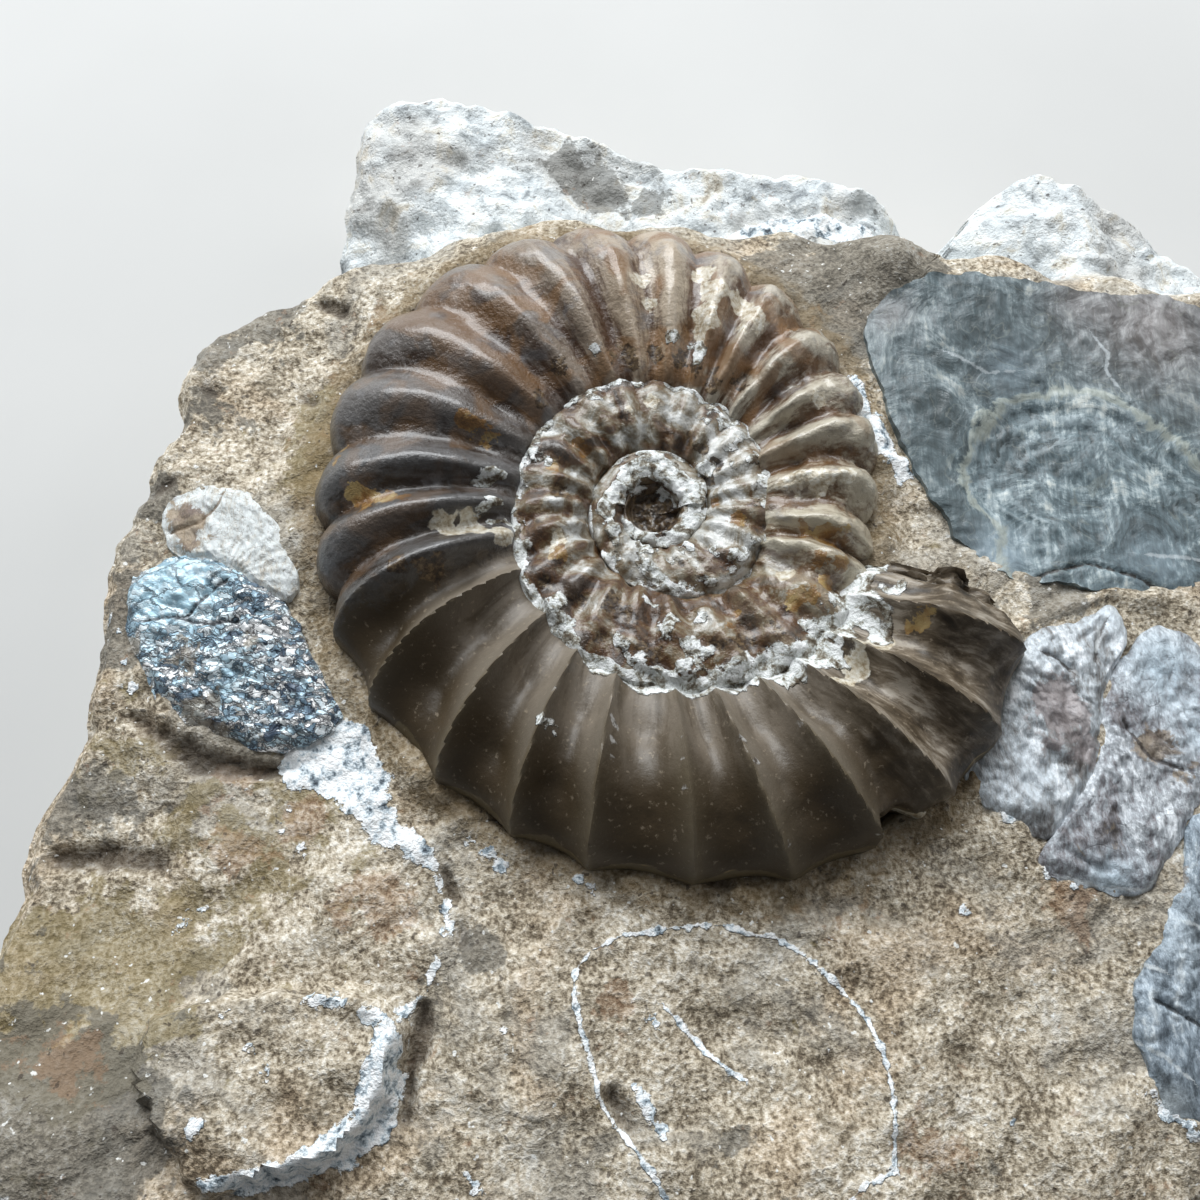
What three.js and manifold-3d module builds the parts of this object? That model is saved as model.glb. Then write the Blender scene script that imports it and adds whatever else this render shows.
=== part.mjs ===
// A ribbed, coiled ammonite standing half out of a loose slab of siltstone, with the crushed shells that lie around it.
// Millimetres, +Z up, flat base on z = 0. The ammonite's coil is centred on POLE.
import * as THREE from 'three';
import { mergeVertices } from 'three/addons/utils/BufferGeometryUtils.js';
import Module from 'manifold-3d';

// ---- slab -----------------------------------------------------------------
const GROUND = 18; // height of the slab's main bedding surface
const SHELF_DROP = 5; // how far the back shelf lies below it
const GAP = 0.3; // clearance between a shell and the rock that holds it
const SPOKES = 58; // points round the slab's outline
const TOP_RINGS = 8; // rings of points across its top

// ---- coil -----------------------------------------------------------------
const POLE = [-5.5, 3.5]; // centre of the coil on the slab
const MID_HEIGHT = 18.3; // height of the coil's middle plane
const SEAT_DEPTH = 2; // how far the shell goes into the rock below that plane
const MOUTH_ANGLE = 338; // where the coil ends, degrees anticlockwise from +X
const CORE_ANGLE = -1080; // where it starts, four turns back
const MOUTH_THICKNESS = 10.8; // across the whorl at the mouth
const THICKNESS_GROWTH = 0.105; // log growth of that thickness for each radian
const OVERLAP = 0.96; // a whorl's inner edge, as a share of the radius it sits on
const CHAMBER_ANGLE = 198; // where the body chamber starts, with knife-edged ribs
const CORE_RADIUS = 1.5;

// Radius to the rib crests at each eighth of a turn, from CORE_ANGLE on. The coil is pressed slightly oval.
const CREST_RADII = [
  1.45, 1.55, 1.7, 1.85, 2.0, 2.25, 2.5, 2.8,
  3.1, 3.5, 3.6, 3.75, 3.8, 4.4, 5.45, 6.8,
  7.1, 7.9, 8.5, 8.7, 8.75, 9.8, 11.9, 13.0,
  13.1, 15.6, 19.1, 20.5, 19.7, 19.9, 21.3, 23.0, 21.2,
];

// Growth angles of the rib crests along the last turn. Inward of the first the ribs keep an even spacing.
const RIB_ANGLES = [
  -21, -10.5, 6.5, 21.5, 34, 48.5, 61.5, 72.5, 85, 98, 110.8, 125.1, 141.5, 157.5, 173.6, 186, 198.8, 213,
  231, 245.7, 258.6, 274.5, 285.7, 298.3, 309.4, 320.2, 332.3,
];
const INNER_RIBS_PER_TURN = 27;
// Degrees by which a rib's rim end runs ahead of its middle, and its crest to trough in mm: [angle, value].
const RIB_LEAN = [
  [-40, 0], [-21, 1], [5, -5], [50, -4], [75, 2], [110, 6], [175, 6], [213, 5], [235, 3], [275, 0], [290, 3],
  [325, 3], [338, 0],
];
const RIB_RELIEF = [
  [-1080, 0], [-600, 0.02], [-420, 0.25], [-300, 0.5], [-60, 0.62], [-21, 0.85], [60, 1.1], [110, 0.95],
  [150, 0.85], [195, 0.9], [215, 1.2], [300, 1.35], [345, 1.3],
];

// ---- outlines on the slab, in mm from the pole ------------------------------
const SLAB_OUTLINE = [
  [-22.4, 17], [-25.9, 15.6], [-28.7, 13], [-29.7, 9.5], [-29.6, 6.5], [-30.4, 2.6], [-31.8, -1], [-32.6, -5],
  [-32.4, -10.5], [-33, -15], [-34.1, -19], [-34.2, -23], [-35.3, -29],
  [-33.5, -36], [-26, -39.5], [-14, -40.5], [0, -39], [13, -40], [26, -38], [35, -33], [41, -24],
  [45.5, -12], [47, 0], [45.5, 11], [41, 20], [36, 24.5], [32, 26.8], [27.6, 28], [24, 26.5],
  [20.5, 23.6], [17.5, 27], [14.5, 28.5], [7, 29.4], [0, 30.8], [-5, 33], [-10, 34.6], [-15, 35.6],
  [-20.4, 34.4], [-21.2, 27],
];
const SHELF_EDGE = [
  [-40, 13], [-24, 15.5], [-16, 18.5], [-8, 20.8], [3, 20.6], [12, 20], [19, 18.6], [27, 17], [36, 15.6], [56, 13],
];
const FLAT_AMMONITE_OUTLINE = [
  [14, 13.5], [14.2, 8], [16, 2], [19.3, -3], [24, -4.3], [30, -4.6], [36, -3.4], [40.5, 1], [41.6, 6.5],
  [38.6, 11.6], [33, 14.2], [26, 15.2], [19, 15.9],
];
const NACRE_OUTLINE = [
  [-30.5, -4.6], [-28.1, -3.3], [-25.2, -3.3], [-23.1, -4.5], [-21, -5.9], [-20.1, -7.6], [-18.9, -9.7],
  [-17.8, -11.7], [-17.9, -13], [-19.4, -13.7], [-21.4, -14.2], [-23.6, -14.2], [-25.9, -13.7], [-28.9, -12.1],
  [-30.3, -10.4], [-30.9, -7.8],
];
const FAN_OUTLINE = [
  [-28.6, -0.9], [-27.8, 0.7], [-26.3, 1.3], [-24.6, 1.5], [-22.9, 0.7], [-21.7, -0.7], [-21, -2.5], [-20.8, -4.3],
  [-21.9, -3.8], [-23.5, -3], [-25.3, -2], [-27.4, -2],
];
const SILVER_OUTLINE = [
  [25.8, -5.8], [24.1, -6.7], [21.9, -8], [21, -9.8], [20.4, -11.5], [19.6, -13.1], [18.4, -15.2], [18.3, -16.9],
  [19.6, -18.7], [20.9, -17.8], [22.3, -16.1], [23.4, -14.5], [24, -12.3], [24.4, -10.9], [25.2, -9.4], [26.2, -8.2],
  [26.4, -6.8],
];
const GREY_OUTLINE = [
  [26.9, -8.5], [27.9, -7.2], [29.4, -7.2], [30.6, -8.4], [31.7, -11.4], [31.4, -14.6], [29, -15.9], [27.6, -16.8],
  [26.9, -18.5], [26.2, -20.2], [25.2, -21.6], [22.3, -21.2], [20.4, -20.5], [20.9, -19.2], [22, -17.9], [23.2, -16.3],
  [24.5, -14.3], [25, -12.3], [25.3, -10.9], [26, -9.6],
];
const CORNER_OUTLINE = [
  [28.5, -17.7], [27.8, -19.8], [27, -21.9], [25.9, -23.9], [24.7, -25.7], [24, -27.5], [24.3, -30], [25.1, -31.8],
  [26.6, -32.9], [30, -32.6], [33.9, -30], [36, -25.5], [35, -20.5], [32, -17.2],
];
const FRONT_BLOCK_OUTLINE = [
  [-25.6, -30], [-24.2, -27.2], [-17, -26.5], [-13.3, -27.3], [-12.9, -29.8], [-14.5, -33], [-17.8, -34.8], [-22.4, -35.4],
];

const FLAT_AMMONITE_INNER = 7.2; // radius of its inner whorls
const FLAT_AMMONITE_CENTRE = [28.2, 3.2];

const wasm = await Module();
wasm.setup();

const rad = THREE.MathUtils.degToRad;
const smooth = THREE.MathUtils.smoothstep;

// ---- the coil's laws --------------------------------------------------------
const crestCurve = new THREE.SplineCurve(CREST_RADII.map((radius, i) => new THREE.Vector2(i, radius)));

function crestRadius(angle) {
  const place = (angle - CORE_ANGLE) / 45;
  if (place < 0) return CREST_RADII[0] * Math.exp(0.12 * rad(angle - CORE_ANGLE));
  return crestCurve.getPoint(Math.min(place / (CREST_RADII.length - 1), 1)).y;
}

function ribNumber(angle) {
  const last = RIB_ANGLES.length - 1;
  if (angle <= RIB_ANGLES[0]) return ((angle - RIB_ANGLES[0]) * INNER_RIBS_PER_TURN) / 360;
  if (angle >= RIB_ANGLES[last]) return last + (angle - RIB_ANGLES[last]) / 12;
  const i = RIB_ANGLES.findIndex((crest) => crest > angle);
  return i - (RIB_ANGLES[i] - angle) / (RIB_ANGLES[i] - RIB_ANGLES[i - 1]);
}

// Value at an angle in a table of [angle, value] rows.
function tableAt(rows, angle) {
  if (angle <= rows[0][0]) return rows[0][1];
  for (let i = 1; i < rows.length; i++) {
    const [a0, v0] = rows[i - 1];
    const [a1, v1] = rows[i];
    if (angle <= a1) return v0 + ((angle - a0) * (v1 - v0)) / (a1 - a0);
  }
  return rows[rows.length - 1][1];
}

// How deep the surface lies below the rib crests. The place across the whorl runs from the rim, 0, to the seam, 1.
function ribDepth(angle, across, ribbed) {
  const off = ribNumber(angle) - Math.round(ribNumber(angle));
  const chamber = smooth(angle, CHAMBER_ANGLE - 2, CHAMBER_ANGLE + 8);
  const swell = Math.sin(Math.PI * off) ** 2;
  const trough = ribbed ? swell + (Math.abs(Math.sin(Math.PI * off)) - swell) * chamber : 0.4;
  const atRim = 0.9 - 0.4 * chamber;
  const fade = (atRim + (1 - atRim) * smooth(across, 0.02, 0.32)) * (1 - 0.85 * smooth(across, 0.74, 1));
  return tableAt(RIB_RELIEF, angle) * fade * trough;
}

// Angles at which the rib number is a whole number of parts of a rib, so that every crest gets a section of its own.
function sectionAngles(from, to, partsPerRib) {
  const angles = [from];
  for (let angle = from + 0.1; angle < to - 0.8; angle += 0.1) {
    const before = Math.floor(ribNumber(angle - 0.1) * partsPerRib);
    if (Math.floor(ribNumber(angle) * partsPerRib) > before && angle - from > 0.8) angles.push(angle);
  }
  angles.push(to);
  return angles;
}

// One section of the whorl, from its outer foot over the top to its inner foot. It leans with the ribs.
function whorlSection(angle, topPoints, ribbed) {
  const lean = ribbed ? tableAt(RIB_LEAN, angle) : 0;
  const points = [];
  const add = (turn, foot) => {
    const across = turn / Math.PI;
    const at = angle + lean * (across < 0.5 ? 1 - 2 * across : 0.8 * (1 - 2 * across));
    const outer = crestRadius(at);
    const inner = at < CORE_ANGLE + 360 ? outer * 0.45 : crestRadius(at - 360) * OVERLAP;
    const centre = (outer + inner) / 2;
    const halfWidth = (outer - inner) / 2;
    const halfThickness = (MOUTH_THICKNESS / 2) * Math.exp(THICKNESS_GROWTH * rad(at - MOUTH_ANGLE));
    const depth = ribDepth(angle, across, ribbed);
    const radius = foot && turn > 0 ? inner : centre + (halfWidth - depth) * Math.cos(turn);
    const height = foot ? -SEAT_DEPTH : (halfThickness - depth) * Math.sin(turn);
    points.push(new THREE.Vector3(
      POLE[0] + radius * Math.cos(rad(at)),
      POLE[1] + radius * Math.sin(rad(at)),
      MID_HEIGHT + height,
    ));
  };
  add(0, true);
  for (let i = 0; i < topPoints; i++) add((Math.PI * i) / (topPoints - 1), false);
  add(Math.PI, true);
  return points;
}

// ---- solids -----------------------------------------------------------------
// A closed skin over rings of equal length, with both end rings closed by a fan.
function loft(rings) {
  const size = rings[0].length;
  const positions = [];
  const faces = [];
  for (const ring of rings) {
    for (const point of ring) positions.push(point.x, point.y, point.z);
  }
  for (let r = 0; r < rings.length - 1; r++) {
    for (let i = 0; i < size; i++) {
      const a = r * size + i;
      const b = r * size + ((i + 1) % size);
      faces.push(a, b, b + size, a, b + size, a + size);
    }
  }
  for (const end of [0, rings.length - 1]) {
    const middle = new THREE.Vector3();
    for (const point of rings[end]) middle.addScaledVector(point, 1 / size);
    const hub = positions.length / 3;
    positions.push(middle.x, middle.y, middle.z);
    for (let i = 0; i < size; i++) {
      const a = end * size + i;
      const b = end * size + ((i + 1) % size);
      if (end === 0) faces.push(hub, b, a);
      else faces.push(hub, a, b);
    }
  }
  const geometry = new THREE.BufferGeometry();
  geometry.setAttribute('position', new THREE.Float32BufferAttribute(positions, 3));
  geometry.setIndex(faces);
  return geometry;
}

function toManifold(geometry) {
  const bare = new THREE.BufferGeometry();
  bare.setAttribute('position', geometry.getAttribute('position'));
  bare.setIndex(geometry.getIndex());
  const merged = mergeVertices(bare, 1e-5);
  const solid = new wasm.Manifold(new wasm.Mesh({
    numProp: 3,
    vertProperties: new Float32Array(merged.getAttribute('position').array),
    triVerts: new Uint32Array(merged.getIndex().array),
  }));
  if (solid.volume() >= 0) return solid;
  const flipped = new Uint32Array(merged.getIndex().array);
  for (let i = 0; i < flipped.length; i += 3) [flipped[i], flipped[i + 1]] = [flipped[i + 1], flipped[i]];
  return new wasm.Manifold(new wasm.Mesh({
    numProp: 3,
    vertProperties: new Float32Array(merged.getAttribute('position').array),
    triVerts: flipped,
  }));
}

function toGeometry(solid) {
  const mesh = solid.getMesh();
  const geometry = new THREE.BufferGeometry();
  const positions = new Float32Array(mesh.numVert * 3);
  for (let i = 0; i < mesh.numVert; i++) {
    for (let k = 0; k < 3; k++) positions[i * 3 + k] = mesh.vertProperties[i * mesh.numProp + k];
  }
  geometry.setAttribute('position', new THREE.Float32BufferAttribute(positions, 3));
  geometry.setIndex(Array.from(mesh.triVerts));
  const flat = geometry.toNonIndexed();
  flat.computeVertexNormals();
  return flat;
}

function placed(outline) {
  return outline.map(([x, y]) => new THREE.Vector3(x + POLE[0], y + POLE[1], 0));
}

// An outline rounded into a smooth closed curve with the given number of points.
function rounded(outline, count) {
  const curve = new THREE.CatmullRomCurve3(placed(outline), true, 'catmullrom', 0.5);
  return curve.getSpacedPoints(count).slice(0, count);
}

// Outline points pushed outwards from the outline's middle by a distance.
function grown(points, distance) {
  const middle = middleOf(points);
  return points.map((point) => {
    const out = point.clone().sub(middle);
    return point.clone().addScaledVector(out.normalize(), distance);
  });
}

function middleOf(points) {
  const middle = new THREE.Vector3();
  for (const point of points) middle.addScaledVector(point, 1 / points.length);
  return middle;
}

// ---- the slab's surface -----------------------------------------------------
function bump(x, y, centreX, centreY, width, height) {
  const away = Math.hypot(x - centreX - POLE[0], y - centreY - POLE[1]) / width;
  return height * Math.exp(-away * away);
}

function bedHeight(x, y) {
  const waves = 0.35 * Math.sin(0.19 * x + 1.1) * Math.cos(0.16 * y - 0.4) + 0.2 * Math.sin(0.41 * x - 0.23 * y);
  const lumps = bump(x, y, 15.5, 18, 2.6, 1.4) + bump(x, y, -31, -34, 7, 3) - bump(x, y, -30, -19, 4, 1.3);
  const slopes = bump(x, y, 36, -36, 14, -2) + bump(x, y, 46, 4, 12, -1.5) + bump(x, y, -26, 14, 6, -1);
  return GROUND + waves + lumps + slopes;
}

function shelfHeight(x, y) {
  const waves = 0.5 * Math.sin(0.31 * x + 0.6) + 0.4 * Math.cos(0.37 * y + 0.2 * x);
  const crests = bump(x, y, 28, 24, 5, 2.2) + bump(x, y, -15, 30, 9, 1.2) - bump(x, y, 20, 24, 3, 1.5);
  return GROUND - SHELF_DROP + waves + crests;
}

const slabMiddle = new THREE.Vector3(POLE[0] + 6, POLE[1] - 3, 0);

// One ring round the slab, its points set in or out by the broken sides.
function slabRing(share, height, broken = 0) {
  return rounded(SLAB_OUTLINE, SPOKES).map((point, i) => {
    const rough = 1 + 0.012 * Math.sin(2.3 * i + 9 * share) + broken * (Math.sin(1.3 * i) + Math.sin(3.1 * i + 1));
    const spot = slabMiddle.clone().lerp(point, share * rough);
    spot.z = height(spot.x, spot.y);
    return spot;
  });
}

function slabBlock() {
  const rings = [
    slabRing(0.93, () => 0, 0.008),
    slabRing(0.97, () => 1.8, 0.008),
    slabRing(0.985, (x) => GROUND * 0.34 + 1.2 * Math.sin(0.3 * x), 0.012),
    slabRing(0.968, (x, y) => GROUND * 0.48 + Math.sin(0.21 * x + 0.3 * y), -0.01),
    slabRing(0.985, (x) => GROUND * 0.66 + 0.9 * Math.sin(0.27 * x + 2), 0.01),
    slabRing(1, (x, y) => bedHeight(x, y) - 1.5),
  ];
  for (let r = 0; r < TOP_RINGS; r++) {
    const share = 0.975 * (1 - r / TOP_RINGS) + 0.05 * (r / TOP_RINGS);
    rings.push(slabRing(share, bedHeight));
  }
  return toManifold(loft(rings));
}

// What is cut away above the shelf along the back: its inner edge falls steeply, and its floor is uneven.
function shelfCut() {
  const edge = new THREE.CatmullRomCurve3(placed(SHELF_EDGE), false, 'catmullrom', 0.5).getSpacedPoints(30);
  const rows = edge.map((point, i) => {
    const lip = new THREE.Vector3(point.x, point.y + 0.4 * Math.sin(1.7 * i), GROUND + 6);
    const row = [lip];
    row.push(lip.clone().setZ(bedHeight(lip.x, lip.y) - 0.6));
    row.push(new THREE.Vector3(lip.x, lip.y + 1.4, shelfHeight(lip.x, lip.y) + 1.6));
    for (let k = 0; k < 6; k++) {
      const y = lip.y + 3 + 4.4 * k;
      row.push(new THREE.Vector3(lip.x, y, shelfHeight(lip.x, y)));
    }
    row.push(new THREE.Vector3(lip.x, lip.y + 25, GROUND + 6));
    return row;
  });
  return toManifold(loft(rows));
}

// A raised block of bedding with a broken rim.
function raisedBlock(outline, height) {
  const rim = rounded(outline, 22);
  const middle = middleOf(rim);
  const ring = (share, lift) => rim.map((point, i) => {
    const spot = middle.clone().lerp(point, share * (1 + 0.02 * Math.sin(2.9 * i)));
    spot.z = bedHeight(spot.x, spot.y) + lift;
    return spot;
  });
  return toManifold(loft([ring(1.06, -2), ring(1.03, 0.1), ring(0.97, height), ring(0.6, height + 0.15)]));
}

// ---- shells lying in the bedding ----------------------------------------------
// A thin shell that follows the bedding, its top raised by relief, or the seat cut for it.
function shellPlate(outline, count, thickness, relief) {
  const rim = rounded(outline, count);
  const middle = middleOf(rim);
  const ring = (share, lift) => rim.map((point) => {
    const spot = middle.clone().lerp(point, share);
    spot.z = bedHeight(spot.x, spot.y) + lift(spot, share);
    return spot;
  });
  return toManifold(loft([
    ring(1, () => -thickness),
    ring(1, () => 0.1),
    ring(0.94, relief),
    ring(0.7, relief),
    ring(0.4, relief),
  ]));
}

function plateSeat(outline, count, thickness) {
  const rim = rounded(outline, count);
  const middle = middleOf(rim);
  const wide = grown(rim, GAP);
  const ring = (share, lift) => wide.map((point) => {
    const spot = middle.clone().lerp(point, share);
    spot.z = bedHeight(spot.x, spot.y) + lift;
    return spot;
  });
  return toManifold(loft([ring(1, -thickness - GAP), ring(1, 5)]));
}

// Relief of the flattened ammonite: an outer whorl and a slightly raised inner coil.
function flattenedCoil(spot) {
  const away = Math.hypot(spot.x - POLE[0] - FLAT_AMMONITE_CENTRE[0], spot.y - POLE[1] - FLAT_AMMONITE_CENTRE[1]);
  const outerWhorl = 0.25 * Math.sin(Math.PI * smooth(away, FLAT_AMMONITE_INNER, 15));
  return 0.2 + outerWhorl + 0.35 * (1 - smooth(away, FLAT_AMMONITE_INNER - 1.5, FLAT_AMMONITE_INNER));
}

function crumpled(height, wave) {
  return (spot, share) => 0.15 + height * (1 - share * share) + 0.12 * Math.sin(wave * spot.x) * Math.cos(wave * spot.y);
}

// ---- the ammonite ---------------------------------------------------------------
function coilSegment(from, to, partsPerRib, topPoints, ribbed) {
  return toManifold(loft(sectionAngles(from, to, partsPerRib).map((angle) => whorlSection(angle, topPoints, ribbed))));
}

function ammonite() {
  const segments = [];
  for (let start = CORE_ANGLE; start < MOUTH_ANGLE; start += 180) {
    const end = Math.min(start + 184, MOUTH_ANGLE);
    if (start < -400) segments.push(coilSegment(start, end, 0.8, 5, false));
    else if (start < -40) segments.push(coilSegment(start, end, 2, 6, true));
    else segments.push(coilSegment(start, end, 4, 8, true));
  }
  const ring = (height) => Array.from({ length: 16 }, (_, i) => new THREE.Vector3(
    POLE[0] + CORE_RADIUS * Math.cos((Math.PI * i) / 8),
    POLE[1] + CORE_RADIUS * Math.sin((Math.PI * i) / 8),
    MID_HEIGHT + height,
  ));
  let solid = toManifold(loft([ring(-SEAT_DEPTH), ring(0.1)]));
  for (const segment of segments) solid = solid.add(segment);
  return solid;
}

// The hollow the ammonite sits in: the coil's plan, a little larger.
function ammoniteSeat() {
  const plan = [];
  const slack = 1.1;
  for (let angle = MOUTH_ANGLE - 360; angle <= MOUTH_ANGLE; angle += 7.2) {
    const radius = crestRadius(angle) + GAP + 0.05;
    plan.push([radius, angle]);
  }
  plan[0][1] += slack;
  plan[plan.length - 1][1] += slack;
  const ring = (height) => plan.map(([radius, angle]) => new THREE.Vector3(
    POLE[0] + radius * Math.cos(rad(angle)),
    POLE[1] + radius * Math.sin(rad(angle)),
    MID_HEIGHT + height,
  ));
  return toManifold(loft([ring(-SEAT_DEPTH - GAP), ring(8)]));
}

// ---- assembly ---------------------------------------------------------------------
const PLATES = [
  {
    name: 'flattened_ammonite', outline: FLAT_AMMONITE_OUTLINE, count: 32, thickness: 1.2, relief: flattenedCoil,
    color: 0x5c6a72, roughness: 0.45,
  },
  {
    name: 'nacre_shell', outline: NACRE_OUTLINE, count: 20, thickness: 1.1, relief: crumpled(0.7, 1.3),
    color: 0xa9bac6, roughness: 0.25,
  },
  {
    name: 'fan_shell', outline: FAN_OUTLINE, count: 16, thickness: 0.9, relief: crumpled(0.35, 0.9),
    color: 0xd9d4c2, roughness: 0.6,
  },
  {
    name: 'silver_shell', outline: SILVER_OUTLINE, count: 18, thickness: 1, relief: crumpled(0.6, 1.1),
    color: 0x8d8c88, roughness: 0.4,
  },
  {
    name: 'grey_shell', outline: GREY_OUTLINE, count: 18, thickness: 1, relief: crumpled(0.6, 0.8),
    color: 0x77767b, roughness: 0.4,
  },
  {
    name: 'corner_shell', outline: CORNER_OUTLINE, count: 18, thickness: 1, relief: crumpled(0.7, 0.5),
    color: 0x4c565d, roughness: 0.45,
  },
];

function piece(name, solid, color, roughness) {
  const mesh = new THREE.Mesh(toGeometry(solid), new THREE.MeshStandardMaterial({ color, roughness, metalness: 0 }));
  mesh.name = name;
  return mesh;
}

const part = new THREE.Group();
part.name = 'ammonite_on_matrix';

let matrix = slabBlock().subtract(shelfCut()).add(raisedBlock(FRONT_BLOCK_OUTLINE, 1.6)).subtract(ammoniteSeat());
for (const { outline, count, thickness } of PLATES) matrix = matrix.subtract(plateSeat(outline, count, thickness));

part.add(piece('matrix', matrix, 0x94826a, 0.9));
part.add(piece('ammonite', ammonite(), 0x4a3b2e, 0.35));
for (const { name, outline, count, thickness, relief, color, roughness } of PLATES) {
  part.add(piece(name, shellPlate(outline, count, thickness, relief), color, roughness));
}

export default part;
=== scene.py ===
"""A ribbed ammonite standing half out of a loose slab of siltstone, with crushed shells in the bedding round it."""

import math

import bpy
import numpy as np
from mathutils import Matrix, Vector


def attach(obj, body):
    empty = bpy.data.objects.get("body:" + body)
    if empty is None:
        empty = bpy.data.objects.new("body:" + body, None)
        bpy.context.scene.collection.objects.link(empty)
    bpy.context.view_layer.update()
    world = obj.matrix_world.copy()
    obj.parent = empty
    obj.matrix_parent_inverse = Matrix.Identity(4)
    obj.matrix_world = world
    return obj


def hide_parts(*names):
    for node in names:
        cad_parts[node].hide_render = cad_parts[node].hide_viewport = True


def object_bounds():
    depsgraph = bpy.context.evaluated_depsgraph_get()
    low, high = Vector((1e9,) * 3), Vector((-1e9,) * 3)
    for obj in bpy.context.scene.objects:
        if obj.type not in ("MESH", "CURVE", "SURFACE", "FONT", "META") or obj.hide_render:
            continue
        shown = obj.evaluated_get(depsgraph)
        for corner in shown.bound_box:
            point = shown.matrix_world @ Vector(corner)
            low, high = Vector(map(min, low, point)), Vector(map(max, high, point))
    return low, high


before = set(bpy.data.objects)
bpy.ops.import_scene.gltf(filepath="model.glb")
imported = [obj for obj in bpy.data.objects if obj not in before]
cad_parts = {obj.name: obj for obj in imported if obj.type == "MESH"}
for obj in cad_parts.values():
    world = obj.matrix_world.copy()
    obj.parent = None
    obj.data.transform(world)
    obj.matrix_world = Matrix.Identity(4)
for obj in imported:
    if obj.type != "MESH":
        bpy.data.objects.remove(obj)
cad_low, cad_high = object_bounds()

MM = 0.001

# The coil, in millimetres and degrees, as the solids have it.
POLE = (-5.5, 3.5)
MID_HEIGHT = 18.3
SEAT_DEPTH = 2.0
CORE_ANGLE = -1080.0
MOUTH_ANGLE = 338.0
BROKEN_ANGLE = 342.5  # where the torn edge of the mouth ends
CHAMBER_ANGLE = 198.0  # where the dull body chamber starts
MOUTH_THICKNESS = 10.8
THICKNESS_GROWTH = 0.105
OVERLAP = 0.96
CREST_RADII = (
    1.45, 1.55, 1.7, 1.85, 2.0, 2.25, 2.5, 2.8,
    3.1, 3.5, 3.6, 3.75, 3.8, 4.4, 5.45, 6.8,
    7.1, 7.9, 8.5, 8.7, 8.75, 9.8, 11.9, 13.0,
    13.1, 15.6, 19.1, 20.5, 19.7, 19.9, 21.3, 23.0, 21.2,
)
RIB_ANGLES = (
    -21, -10.5, 6.5, 21.5, 34, 48.5, 61.5, 72.5, 85, 98, 110.8, 125.1, 141.5, 157.5, 173.6, 186, 198.8, 213,
    231, 245.7, 258.6, 274.5, 285.7, 298.3, 309.4, 320.2, 332.3,
)
INNER_RIBS_PER_TURN = 23
RIB_LEAN = (
    (-40, 0), (-21, 1), (5, -5), (50, -4), (75, 2), (110, 6), (175, 6), (213, 5), (235, 3), (275, 0), (290, 3),
    (340, 4),
)
RIB_RELIEF = (
    (-1080, 0), (-600, 0.02), (-420, 0.2), (-300, 0.32), (-100, 0.42), (-40, 0.6), (-21, 0.9), (60, 1.05),
    (110, 0.85), (150, 0.9), (195, 1.2), (213, 2.5), (245, 2.1), (275, 1.6), (300, 1.6), (345, 1.6),
)

# More values by angle of growth: lumps, crystals and grain of the surface, where the white crust ends at the rim and
# at the seam (0 to 1 across), which face of a rib gets painted light and which painted shade, and how milky the inner
# turns are.
KNOBS = (
    (-600, 0.5), (-30, 0.5), (-10, 0.45), (60, 0.35), (90, 0.14), (190, 0.1), (205, 0.05), (280, 0.05), (320, 0.2),
    (345, 0.3),
)
CRYSTALS = ((-600, 0.4), (-30, 0.55), (-8, 0.4), (60, 0.18), (150, 0.02), (205, 0), (345, 0))
SURFACE_GRAIN = ((-600, 0.05), (-20, 0.05), (0, 0.05), (60, 0.035), (190, 0.012), (205, 0.008))
RIM_CRUST = (
    (-400, 0.18), (-300, 0.26), (-280, 0.2), (-200, 0.32), (-170, 0.29), (-150, 0.33), (-60, 0.35), (-22, 0.33),
)
SEAM_CRUST = ((222, 0.99), (236, 0.92), (250, 0.885), (300, 0.875), (338, 0.86))
# Which face of a body-chamber rib is painted lit: -1 the face before the crest, 1 the face after it.
PAINTED_LIT_FACE = ((200, -1), (255, -1), (272, 0), (288, 1), (345, 1))
MILKINESS = (
    (-600, 0), (-400, 0.05), (-340, 0.05), (-300, -0.03), (-230, -0.03), (-180, 0), (-140, -0.05), (-60, -0.05),
    (-20, 0.04),
)

# Grids of the pieces: quads along and across the coil, and along a side of the slab, its walls included.
COIL_STEPS, COIL_ACROSS = 1600, 58
SLAB_ROWS, SLAB_WALL_ROWS = 308, 24
LAST_TURN_ANGLE = -22.0
UNDERCUT = 0.3  # radians that the coil's tube goes on below its widest
SHELL_SHARE = 0.92  # of a thin shell's grid, the part that lies on the bedding; the rest tucks into the rock
BOX_MARGIN = 0.02

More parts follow.
